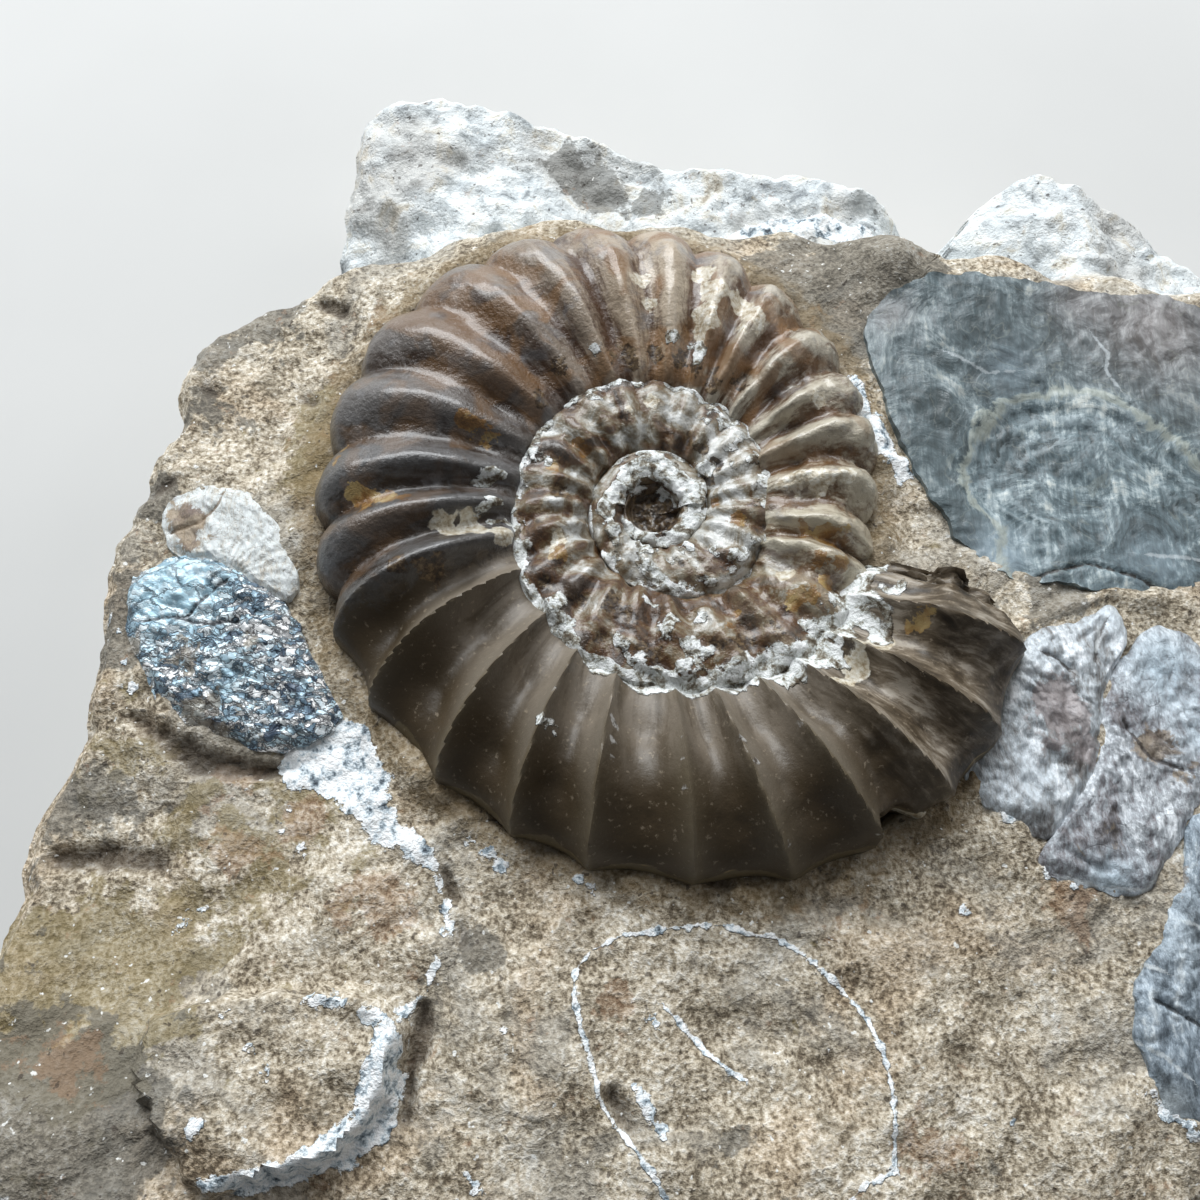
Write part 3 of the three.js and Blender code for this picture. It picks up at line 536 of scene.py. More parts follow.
def make_coil():
    """The whole coil: a tube wound from the core to the mouth, closed below by a flat seat."""
    steps = ((0, CORE_ANGLE), (80, -742), (300, -382), (760, LAST_TURN_ANGLE), (COIL_STEPS, BROKEN_ANGLE))
    piece, u, v = new_grid("coil", COIL_STEPS, COIL_ACROSS)
    angle = table(np.rint(u * COIL_STEPS), steps)
    j = np.rint(v * COIL_ACROSS)
    seam_turn = math.pi + UNDERCUT / 2
    turn = np.interp(j, (0, 1, COIL_ACROSS - 3, COIL_ACROSS - 2), (-UNDERCUT, -UNDERCUT, seam_turn, seam_turn))
    across = turn / math.pi
    last = smooth(angle, -24, -14)
    chamber = smooth(angle, CHAMBER_ANGLE - 2, CHAMBER_ANGLE + 8)

    outer = crest_radius(angle)
    inner = np.where(angle < CORE_ANGLE + 360, outer * 0.03, crest_radius(angle - 360) * OVERLAP)
    centre, half_width = (outer + inner) / 2, (outer - inner) / 2
    half_thick = MOUTH_THICKNESS / 2 * np.exp(THICKNESS_GROWTH * np.radians(angle - MOUTH_ANGLE))
    girth = math.pi * np.sqrt((half_width**2 + half_thick**2) / 2)

    # Ribs: knife-edged with hollow troughs on the body chamber, round and creased before it.
    lean = table(angle, RIB_LEAN) * np.where(across < 0.5, 1 - 2 * across, 0.8 * (1 - 2 * across))
    rib = rib_number(angle - lean)
    off_crest = rib - np.round(rib)
    knife = abs(np.sin(np.pi * off_crest)) ** 0.85
    swell = np.sin(np.pi * off_crest) ** 2
    crease = (2 * off_crest) ** 2
    rounded = crease + (swell - crease) * smooth(across, 0.15, 0.45)
    trough = rounded + (knife - rounded) * chamber
    edge_share = 0.9 - 0.62 * chamber
    fade = edge_share + (1 - edge_share) * smooth(across, 0.02, 0.32)
    fade = np.where(angle < -22, smooth(across, 0.08, 0.3), fade) * (1 - smooth(across, 0.74, 0.97))
    depth = table(angle, RIB_RELIEF) * fade * trough

    # Lumps and wear, the crust on the inner turns, and small pits.
    mean_radius = centre + half_width * np.cos(turn)
    flat_x, flat_y = np.radians(angle) * centre, across * girth
    size = outer / 22
    depth = depth + size * table(angle, KNOBS) * rough(flat_x, flat_y, 2.2, 5)
    depth = depth + size * table(angle, CRYSTALS) * (abs(rough(flat_x, flat_y, 1.6, 27, 2)) - 0.35)
    depth = depth + table(angle, SURFACE_GRAIN) * rough(flat_x, flat_y, 0.4, 9, 2)
    white = beyond_marks(angle, across, mean_radius, girth, WHITE_CRUST)
    band = (across - table(angle, RIM_CRUST)) * girth
    white = np.where(angle < -30, np.minimum(white, band), white)
    ring = abs(mean_radius - 2.2) - 0.5
    white = np.where(angle < -540, np.minimum(white, ring), white)
    white = white + 0.5 * rough(flat_x, flat_y, 0.9, 14)
    seam = (table(angle, SEAM_CRUST) - across) * girth
    seam = seam + 0.12 * rough(flat_x, flat_y, 1.6, 15)
    white = np.where(angle > 225, np.minimum(white, seam), white)
    crust = smooth(-white, -0.15, 0.2)
    depth = depth - crust * np.where(angle < -30, 0.22, 0.06) * (0.7 + 0.6 * rough(flat_x, flat_y, 0.5, 17))
    pale = beyond_marks(angle, across, mean_radius, girth, PALE_SHELL) + 0.25 * rough(flat_x, flat_y, 0.9, 23)
    depth = depth - 0.14 * smooth(-pale, -0.05, 0.1) * chamber
    dark = beyond_marks(angle, across, mean_radius, girth, DARK_CELLS_AND_SHADOWS)
    depth = depth + 0.3 * size * smooth(-dark, -0.1, 0.4) * (angle < -30)
    amber = beyond_marks(angle, across, mean_radius, girth, AMBER_WINDOWS)
    flecks = beyond_marks(angle, across, mean_radius, girth, FLECKS)
    depth = depth + 0.07 * smooth(-flecks, -0.1, 0.1) * rough(flat_x, flat_y, 0.3, 19)
    # The last turn swells towards the seam, so the groove there is shallow.
    depth = depth - 0.7 * smooth(across, 0.7, 0.9) * last

    # The torn mouth sinks into the rock, and a piece is broken out of the rim near it.
    torn = smooth(angle, MOUTH_ANGLE - 1, BROKEN_ANGLE)
    depth = depth + torn * (1.5 + 0.6 * rough(turn * 3, angle, 1.0, 31))
    radius = centre + (half_width - depth) * np.cos(turn)
    height = (half_thick - depth) * np.maximum(np.sin(turn), -UNDERCUT)
    broken = smooth(angle, 300, 301.2) * (1 - smooth(angle, 305, 308.6))
    radius = np.minimum(radius, outer - broken * (1.5 + 0.3 * rough(flat_x, height, 0.8, 35)))
    pit = (1 - smooth(radius, 1.2, 1.75)) * (angle < -700)
    x, y = radius * np.cos(np.radians(angle)), radius * np.sin(np.radians(angle))
    height = height * (1 - pit) + (-0.45 + 0.2 * rough(x, y, 0.5, 37)) * pit

    # The flat seat under the tube.
    radius = np.where(j == COIL_ACROSS - 2, inner, radius)
    radius = np.where(j == COIL_ACROSS - 1, centre, radius)
    radius = np.where((j == 0) | (j == COIL_ACROSS), centre + (half_width - depth) * math.cos(UNDERCUT), radius)
    height = np.where((j == 0) | (j >= COIL_ACROSS - 2), -SEAT_DEPTH, height)
    x, y = radius * np.cos(np.radians(angle)), radius * np.sin(np.radians(angle))
    set_points(piece, x, y, MID_HEIGHT + height)

    rim = (across - 0.035 - 0.05 * trough - 0.015 * rough(flat_x, flat_y, 2.5, 43)) * girth
    # Painted light and shade on the body chamber's ribs: positive on the face painted lit, negative on the face painted
    # in shade.
    facing = table(angle, PAINTED_LIT_FACE) * np.clip(off_crest / 0.05, -1, 1) * (1 - 2 * abs(off_crest)) * chamber
    facing = facing * np.where(facing > 0, smooth(across, 0.12, 0.6), 1)
    dark = np.minimum(dark, np.where(angle < -700, radius - 1.6, 9))
    rim = np.where(angle > 222, rim, 9)
    set_masks(
        piece, milky=table(angle, MILKINESS), facing=facing, trough=trough, rib=rib, across=across, turns=angle / 360,
        white=white, pale=pale, amber=amber, dark=dark, flecks=flecks, rim=rim,
    )
    close_and_shade(piece, merge=True)
    return piece


def make_slab():
    """The slab: one grid whose middle is the bedded top and whose outer rows are the walls; the flat base closes it."""
    rim_at = 1 - 2 * SLAB_WALL_ROWS / SLAB_ROWS
    piece, u, v = new_grid("slab", SLAB_ROWS, SLAB_ROWS)
    out, heading = square_rings(u, v)
    side = np.clip((out - rim_at) / (1 - rim_at), 0, 1)
    top = np.minimum(out / rim_at, 1)
    reach = outline_reach(SLAB_OUTLINE, SLAB_MIDDLE, heading)
    round_x, round_y = reach * np.cos(heading), reach * np.sin(heading)
    jag = 0.5 * rough(round_x, round_y, 5, 71) + 0.35 * rough(round_x, round_y, 1.6, 75)
    ledges = 0.9 * rough(round_x + 30 * side, round_y - 26 * side, 4.5, 81) * smooth(side, 0, 0.15)
    share = top * (1 - 0.03 * smooth(side, 0, 0.1) + 0.012 * np.sin(9 * side) - 0.05 * smooth(side, 0.85, 1))
    reach = (reach - 0.45 + 0.8 * jag * top**4) * share + (ledges - 1.2) * smooth(side, 0, 0.2)
    x, y = SLAB_MIDDLE[0] + reach * np.cos(heading), SLAB_MIDDLE[1] + reach * np.sin(heading)

    growth = growth_angle(x, y)
    off_coil = np.hypot(x, y) - crest_radius(growth)
    shelf = smooth(behind_shelf_edge(x, y), -0.3, 2.6)
    lip = 0.7 * smooth(behind_shelf_edge(x, y), -2.6, 0)
    z = (bed_height(x, y) - lip) * (1 - shelf) + shelf_height(x, y) * shelf
    block = smooth(inside_outline(x, y, FRONT_BLOCK_OUTLINE) + 0.35 * rough(x, y, 1.2, 21), -0.2, 0.5)
    z = z + 1.6 * block * (1 + 0.15 * rough(x, y, 2.5, 22))
    # Silt packed against the shell, and room left under it.
    z = z + 0.45 * np.exp(-((off_coil - 0.2) / 0.9) ** 2) * (0.8 + 0.5 * rough(x, y, 1.5, 25)) * (1 - shelf)
    z = z - 2.2 * smooth(-off_coil, 0.9, 2.2)
    for outline in (FLAT_AMMONITE_OUTLINE, NACRE_OUTLINE, FAN_OUTLINE, SILVER_OUTLINE, GREY_OUTLINE, CORNER_OUTLINE):
        z = z - 0.6 * smooth(inside_outline(x, y, outline), 0.3, 1.1)
    streaks = np.min([beyond_streak(x, y, streak) for streak in CALCITE_STREAKS], axis=0)
    crumbs = np.min([np.hypot(x - at_x, y - at_y) - size for at_x, at_y, size in CALCITE_CRUMBS], axis=0)
    streaks = np.minimum(streaks, crumbs)
    z = z + 0.12 * smooth(-streaks, -0.15, 0.35) * (1 + 0.8 * rough(x, y, 0.7, 33))
    hollow = np.zeros(x.shape)
    for run, depth in DARK_HOLLOWS:
        share = smooth(-beyond_streak(x, y, run) + 0.2 * rough(x, y, 0.8, 37), -0.35, 0.35)
        z = z - depth * share
        hollow = np.maximum(hollow, share)
    # A broken ridge between the mouth and the flattened ammonite.
    ridge = beyond_streak(x, y, ((20.2, -7.4, 0), (22.8, -6.1, 0), (25.8, -4.9, 0), (28.6, -5.2, 0)))
    z = z + 0.5 * np.exp(-((ridge / 0.5) ** 2))
    z = z + 0.28 * rough(x, y, 6, 41) + 0.2 * rough(x, y, 1.9, 45) + 0.09 * rough(x, y, 0.8, 49, 2)
    # Low steps where thin beds have flaked away.
    flaked = rough(x, y, 7, 57)
    z = z + 0.16 * (smooth(flaked, -0.05, 0.02) + smooth(flaked, 0.45, 0.5) - 0.8) * (1 - shelf)
    z = z + shelf * (0.5 * rough(x, y, 3.5, 51) + 0.2 * rough(x, y, 1.1, 53))
    rim = z - 1.2 * smooth(top, 0.97, 1) * (side == 0)
    z = np.where(side > 0, (rim - 1.2) * (1 - side), rim)
    z = np.where(side >= 0.999, 0, np.maximum(z, 0))
    set_points(piece, x, y, z)

    # The tints fade out a little way down the walls.
    on_top = 1 - smooth(side, 0.12, 0.4)
    lines = beside_lines(x, y, CALCITE_LINES)
    set_masks(
        piece, streak=streaks, near_coil=off_coil, shelf=shelf * on_top, line=lines, near_line=abs(lines),
        hollow=hollow,
        ochre=tint(x, y, OCHRE_TINT) * on_top, grey=tint(x, y, GREY_TINT) * on_top,
        rust=tint(x, y, RUST_TINT) * on_top,
    )
    close_and_shade(piece, merge=False)
    return piece


def make_shell(name, outline, cells, lift, detail):
    """A thin crushed shell lying on the bedding, its edge tucked into the rock."""
    piece, u, v = new_grid(name, cells, cells)
    out, heading = square_rings(u, v)
    middle = closed_curve(outline, 200).mean(0)
    reach = outline_reach(outline, middle, heading)
    edge = 0.25 * rough(reach * np.cos(heading) + middle[0], reach * np.sin(heading) + middle[1], 1.2, 61)
    tuck = np.clip((out - SHELL_SHARE) / (1 - SHELL_SHARE), 0, 1)
    reach = (reach + 0.2 + edge) * np.minimum(out / SHELL_SHARE, 1) + 0.05 * tuck
    x, y = middle[0] + reach * np.cos(heading), middle[1] + reach * np.sin(heading)
    inside = inside_outline(x, y, outline)
    marks = SHELL_MARKS[name]
    cracks = np.min([beyond_streak(x, y, [(*point, 0) for point in run]) for run in marks["cracks"]], axis=0)
    z = bed_height(x, y) + 0.1 + lift * smooth(inside, -0.3, 0.7) + detail(x, y, inside)
    z = z - 0.16 * np.exp(-((cracks / 0.15) ** 2)) - 0.95 * tuck
    set_points(piece, x, y, z)
    set_masks(
        piece, pale=tint(x, y, marks["pale"]), brown=tint(x, y, marks["brown"]),
        crack=beside_lines(x, y, marks["cracks"]), scratch=beside_lines(x, y, marks["scratches"]),
    )
    close_and_shade(piece, merge=False)
    return piece


def flat_whorls(x, y, inside):
    """The pressed whorl of the flattened ammonite: a low step at its edge and faint growth lines within."""
    within = inside_outline(x, y, FLAT_WHORL_OUTLINE)
    step = 0.22 * smooth(-within, -0.4, 0.8) + 0.12 * np.exp(-((within / 0.5) ** 2))
    lines = 0.05 * np.sin(2 * np.pi * within / 1.3) * smooth(within, 0.1, 0.6) * (1 - smooth(within, 2.5, 4))
    return step + lines + 0.16 * rough(x, y, 3.2, 91) + 0.08 * rough(x, y, 0.9, 93)


def crumples(height, size, seed):
    """A law of creased folds for a crushed shell."""
    def detail(x, y, inside):
        folds = abs(rough(x, y, size, seed)) * 0.8
        fine = 0.4 * height * abs(rough(x + y, 0.5 * (x - y), 0.9, seed + 3, 2))
        return (height * (folds - 0.3) + fine) * smooth(inside, 0, 1) + 0.08 * rough(x, y, 0.5, seed + 7, 2)

    return detail


def fan_ribs(x, y, inside):
    """Faint ribs spreading from the hinge, over a shaggy surface."""
    heading = np.arctan2(y + 4.5, x + 24.5)
    return 0.03 * np.cos(30 * heading) * smooth(inside, 0, 0.6) + 0.1 * rough(x + y, 0.4 * (x - y), 0.7, 97)


def whorl_distance(piece):
    """Millimetres inside the edge of the pressed whorl, at each point of a piece."""
    points = np.empty(len(piece.data.vertices) * 3)
    piece.data.vertices.foreach_get("co", points)
    x, y, _ = points.reshape(-1, 3).T / MM
    return inside_outline(x - POLE[0], y - POLE[1], FLAT_WHORL_OUTLINE)


coil = make_coil()
slab = make_slab()
flat_ammonite = make_shell("slate_shell", FLAT_AMMONITE_OUTLINE, 200, 0.12, flat_whorls)
set_masks(flat_ammonite, whorl=whorl_distance(flat_ammonite))
nacre = make_shell("nacre", NACRE_OUTLINE, 200, 0.5, crumples(0.45, 1.8, 101))
fan = make_shell("fan", FAN_OUTLINE, 110, 0.35, fan_ribs)
silver = make_shell("silver", SILVER_OUTLINE, 130, 0.35, crumples(0.4, 2.4, 111))
grey_shell = make_shell("grey", GREY_OUTLINE, 130, 0.35, crumples(0.4, 2.6, 121))
corner = make_shell("corner", CORNER_OUTLINE, 130, 0.4, crumples(0.25, 2.6, 131))


# ---------------------------------------------------------------- nodes
def wire(tree, node, name, value):
    socket = node.inputs[name]
    if isinstance(value, bpy.types.NodeSocket):
        tree.links.new(value, socket)
    else:
        socket.default_value = value


def add(tree, kind, settings=None, **inputs):
    node = tree.nodes.new(kind)
    for key, value in (settings or {}).items():
        setattr(node, key, value)
    for name, value in inputs.items():
        wire(tree, node, name.replace("_", " "), value)
    return node


def mask_of(tree, name):
    return add(tree, "ShaderNodeAttribute", {"attribute_name": name}).outputs["Fac"]


def place_of(tree):
    return add(tree, "ShaderNodeTexCoord").outputs["Object"]


def noise(tree, vector, scale, detail=3.0, roughness=0.5, distortion=0.0):
    node = add(tree, "ShaderNodeTexNoise", Vector=vector, Scale=scale, Detail=detail, Roughness=roughness)
    node.inputs["Distortion"].default_value = distortion
    return node.outputs["Fac"]


def calc(tree, operation, a, b=0.0, clamp=False):
    node = add(tree, "ShaderNodeMath", {"operation": operation, "use_clamp": clamp})
    wire(tree, node, 0, a)
    if len(node.inputs) > 1:
        wire(tree, node, 1, b)
    return node.outputs[0]


def times(tree, a, b):
    return calc(tree, "MULTIPLY", a, b)


def plus(tree, a, b, clamp=False):
    return calc(tree, "ADD", a, b, clamp)


def without(tree, a):
    """One less the value."""
    return calc(tree, "SUBTRACT", 1.0, a)


def centred(tree, value):
    return calc(tree, "SUBTRACT", value, 0.5)


def swayed(tree, value, by, amount):
    """A value moved up and down by a noise."""
    return plus(tree, value, times(tree, centred(tree, by), amount))


def ranged(tree, value, low, high, to_low=0.0, to_high=1.0):
    node = add(tree, "ShaderNodeMapRange", {"interpolation_type": "SMOOTHSTEP"}, Value=value)
    for name, number in (("From Min", low), ("From Max", high), ("To Min", to_low), ("To Max", to_high)):
        node.inputs[name].default_value = number
    return node.outputs["Result"]


def blend(tree, factor, a, b, mode="MIX"):
    node = add(tree, "ShaderNodeMix", {"data_type": "RGBA", "blend_type": mode})
    for index, value in ((0, factor), (6, a), (7, b)):
        if isinstance(value, bpy.types.NodeSocket):
            tree.links.new(value, node.inputs[index])
        else:
            node.inputs[index].default_value = value
    return node.outputs[2]


def lay(tree, colour, tone, mask, share):
    """A tone laid over a colour where a mask is, by a share at most."""
    return blend(tree, times(tree, mask, share), colour, tone)


def ramp(tree, factor, stops):
    node = add(tree, "ShaderNodeValToRGB", Fac=factor)
    elements = node.color_ramp.elements
    while len(elements) > 1:
        elements.remove(elements[-1])
    elements[0].position, elements[0].color = stops[0][0], stops[0][1]
    for position, colour in stops[1:]:
        elements.new(position).color = colour
    return node.outputs["Color"]


def rgb(red, green, blue):
    """A colour given as seen on a screen, 0 to 255."""
    return tuple(((c / 255 + 0.055) / 1.055) ** 2.4 if c > 10 else c / 255 / 12.92 for c in (red, green, blue)) + (1.0,)


def new_group(name, inputs, outputs):
    """inputs: (name, kind, default); outputs: (name, kind)."""
    tree = bpy.data.node_groups.new(name, "ShaderNodeTree")
    for label, kind, default in inputs:
        socket = tree.interface.new_socket(label, in_out="INPUT", socket_type=kind)
        if default is not None:
            socket.default_value = default
    for label, kind in outputs:
        tree.interface.new_socket(label, in_out="OUTPUT", socket_type=kind)
    return tree, tree.nodes.new("NodeGroupInput").outputs, tree.nodes.new("NodeGroupOutput")


def use_group(tree, group, **inputs):
    return add(tree, "ShaderNodeGroup", {"node_tree": group}, **inputs).outputs


def make_grain_group():
    """Silt: a tone from dark to pale at every size from lumps down to single grains, and its height."""
    tree, given, out = new_group(
        "silt grain",
        (("Place", "NodeSocketVector", None), ("Grains", "NodeSocketFloat", 3200.0)),
        (("Tone", "NodeSocketFloat"), ("Height", "NodeSocketFloat")),
    )
    lumps = noise(tree, given["Place"], times(tree, given["Grains"], 0.09), 5.0, 0.68)
    grains = noise(tree, given["Place"], given["Grains"], 3.0, 0.65)
    tone = plus(tree, times(tree, grains, 0.6), times(tree, lumps, 0.4))
    tree.links.new(tone, out.inputs["Tone"])
    height = plus(tree, times(tree, grains, 0.5), times(tree, lumps, 1.7))
    tree.links.new(height, out.inputs["Height"])
    return tree


def make_ragged_group():
    """Turns a distance from an edge, in millimetres, into a mask with a ragged, broken edge."""
    tree, given, out = new_group(
        "ragged edge",
        (
            ("Place", "NodeSocketVector", None),
            ("Distance", "NodeSocketFloat", 0.0),
            ("Ragged", "NodeSocketFloat", 0.3),
            ("Size", "NodeSocketFloat", 1500.0),
        ),
        (("Mask", "NodeSocketFloat"),),
    )
    wander = centred(tree, noise(tree, given["Place"], given["Size"], 4.0, 0.65))
    moved = plus(tree, given["Distance"], times(tree, wander, given["Ragged"]))
    tree.links.new(ranged(tree, moved, -0.06, 0.06, 1.0, 0.0), out.inputs["Mask"])
    return tree


def make_flake_group():
    """Small bright flakes, each with its own tone, with dark gaps between them."""
    tree, given, out = new_group(
        "nacre flakes",
        (("Place", "NodeSocketVector", None), ("Flakes", "NodeSocketFloat", 1800.0), ("Gap", "NodeSocketFloat", 0.1)),
        (("Gaps", "NodeSocketFloat"), ("Flake", "NodeSocketFloat")),
    )
    shift = add(tree, "ShaderNodeTexNoise", Vector=given["Place"], Scale=700.0, Detail=4.0, Roughness=0.7)
    bent = add(tree, "ShaderNodeVectorMath", {"operation": "MULTIPLY_ADD"})
    wire(tree, bent, 0, shift.outputs["Color"])
    bent.inputs[1].default_value = (0.0016, 0.0016, 0.0016)
    wire(tree, bent, 2, given["Place"])
    turned = add(tree, "ShaderNodeMapping", {"vector_type": "POINT"}, Vector=bent.outputs[0])
    turned.inputs["Rotation"].default_value = (0, 0, math.radians(-38))
    turned.inputs["Scale"].default_value = (0.55, 1.25, 1)
    edges = add(tree, "ShaderNodeTexVoronoi", {"feature": "DISTANCE_TO_EDGE"}, Vector=turned.outputs[0],
                Scale=given["Flakes"])
    cells = add(tree, "ShaderNodeTexVoronoi", {"feature": "F1"}, Vector=turned.outputs[0], Scale=given["Flakes"])
    near = calc(tree, "DIVIDE", edges.outputs["Distance"], given["Gap"])
    tree.links.new(ranged(tree, near, 0.2, 1.0, 1.0, 0.0), out.inputs["Gaps"])
    flake = add(tree, "ShaderNodeSeparateColor", Color=cells.outputs["Color"])
    tree.links.new(flake.outputs["Green"], out.inputs["Flake"])
    return tree


def make_crack_group():
    """Thin wandering cracks."""
    tree, given, out = new_group(
        "fine cracks",
        (
            ("Place", "NodeSocketVector", None),
            ("Size", "NodeSocketFloat", 500.0),
            ("Width", "NodeSocketFloat", 0.012),
        ),
        (("Mask", "NodeSocketFloat"),),
    )
    level = calc(tree, "ABSOLUTE", centred(tree, noise(tree, given["Place"], given["Size"], 3.0, 0.55, 0.4)))
    tree.links.new(ranged(tree, calc(tree, "DIVIDE", level, given["Width"]), 0.3, 1.0, 1.0, 0.0), out.inputs["Mask"])
    return tree


grain_group = make_grain_group()
ragged = make_ragged_group()
fine_cracks = make_crack_group()
flakes = make_flake_group()


def new_material(name):
    material = bpy.data.materials.new(name)
    material.use_nodes = True
    tree = material.node_tree
    shader = tree.nodes["Principled BSDF"]
    return material, tree, shader


def raise_surface(tree, shader, height, distance, strength=1.0):
    node = add(tree, "ShaderNodeBump", Height=height)
    node.inputs["Distance"].default_value = distance * MM
    node.inputs["Strength"].default_value = strength
    tree.links.new(node.outputs["Normal"], shader.inputs["Normal"])


def siltstone():
    """The rock: grain, broad tints, the white back shelf, dark earth and painted shadow in hollows, earth by the coil,
    and white calcite.
    """
    material, tree, shader = new_material("siltstone")
    place = place_of(tree)
    grain = use_group(tree, grain_group, Place=place, Grains=3400.0)
    colour = ramp(tree, grain["Tone"], (
        (0.38, rgb(96, 84, 68)), (0.45, rgb(150, 138, 118)), (0.5, rgb(190, 178, 158)), (0.55, rgb(212, 202, 184)),
        (0.61, rgb(240, 234, 222)),
    ))
    # Broad patches: rusty pink, grey and olive.
    pink = ranged(tree, noise(tree, place, 110.0, 6.0, 0.62, 0.5), 0.5, 0.62)
    colour = lay(tree, colour, blend(tree, 1.0, colour, rgb(236, 214, 190), "MULTIPLY"), pink, 0.4)
    cool = ranged(tree, noise(tree, place, 150.0, 6.0, 0.66, 0.6), 0.5, 0.62)
    colour = lay(tree, colour, rgb(146, 144, 138), cool, 0.45)
    shade = ranged(tree, noise(tree, place, 330.0, 5.0, 0.7, 0.4), 0.54, 0.66)
    colour = lay(tree, colour, rgb(112, 104, 88), shade, 0.4)
    shelf = mask_of(tree, "shelf")
    mottle = ramp(tree, noise(tree, place, 420.0, 7.0, 0.7, 0.5), (
        (0.34, rgb(132, 140, 146)), (0.44, rgb(204, 212, 216)), (0.54, rgb(240, 246, 248)),
        (0.62, rgb(222, 220, 210)),
        (0.72, rgb(158, 146, 128)),
    ))
    brown = ranged(tree, noise(tree, place, 80.0, 3.0, 0.5), 0.48, 0.6)
    mottle = lay(tree, mottle, rgb(168, 160, 150), brown, 0.45)
    colour = lay(tree, colour, mottle, shelf, 0.9)
    for mask, share, ragged_by, size, tone in (
        ("ochre", 0.85, 1.6, 500.0, rgb(128, 114, 74)), ("grey", 0.95, 1.6, 600.0, rgb(98, 96, 90)),
        ("rust", 0.5, 1.8, 700.0, rgb(150, 110, 78)),
    ):
        edge = use_group(tree, ragged, Place=place, Distance=calc(tree, "SUBTRACT", 0.3, mask_of(tree, mask)),
                         Ragged=ragged_by, Size=size)
        tinted = blend(tree, 0.7, colour, tone)
        colour = lay(tree, colour, tinted, edge["Mask"], share)
    bedded = without(tree, shelf)
    wander = times(tree, centred(tree, noise(tree, place, 700.0, 4.0, 0.6)), 5.0)
    earth = ranged(tree, plus(tree, mask_of(tree, "near_coil"), wander), 0.3, 2.0, 1.0, 0.0)
    earth = times(tree, earth, bedded)
    colour = lay(tree, colour, rgb(124, 104, 70), earth, 0.6)
    # Hollows darkened: dark earth, and painted shadow under the nacre and beside the front block.
    pitted = times(tree, mask_of(tree, "hollow"), 0.8)
    colour = blend(tree, pitted, colour, rgb(62, 50, 38))
    specks = noise(tree, place, 2100.0, 2.0, 0.5)
    colour = lay(tree, colour, rgb(236, 236, 232), ranged(tree, specks, 0.69, 0.74), 0.9)
    colour = lay(tree, colour, rgb(58, 48, 40), ranged(tree, specks, 0.33, 0.28), 0.7)
    white = use_group(tree, ragged, Place=place, Distance=mask_of(tree, "streak"), Ragged=2.2, Size=800.0)
    line_edge = calc(tree, "ABSOLUTE", mask_of(tree, "line"))
    thin = swayed(tree, line_edge, noise(tree, place, 1200.0, 3.0, 0.6), 0.9)
    line = times(tree, ranged(tree, thin, 0.08, 0.16, 1.0, 0.0),
                 ranged(tree, mask_of(tree, "near_line"), 0.4, 0.6, 1.0, 0.0))
    chalky = calc(tree, "MAXIMUM", white["Mask"], line)
    chalk = ramp(tree, noise(tree, place, 1500.0, 5.0, 0.66), (
        (0.32, rgb(64, 72, 80)), (0.4, rgb(150, 164, 174)), (0.46, rgb(222, 232, 238)), (0.54, rgb(252, 254, 255)),
    ))
    colour = blend(tree, chalky, colour, chalk)
    tree.links.new(colour, shader.inputs["Base Color"])
    shader.inputs["Roughness"].default_value = 0.85
    height = plus(tree, grain["Height"], times(tree, chalky, 0.3))
    raise_surface(tree, shader, height, 0.3, 1.0)
    return material


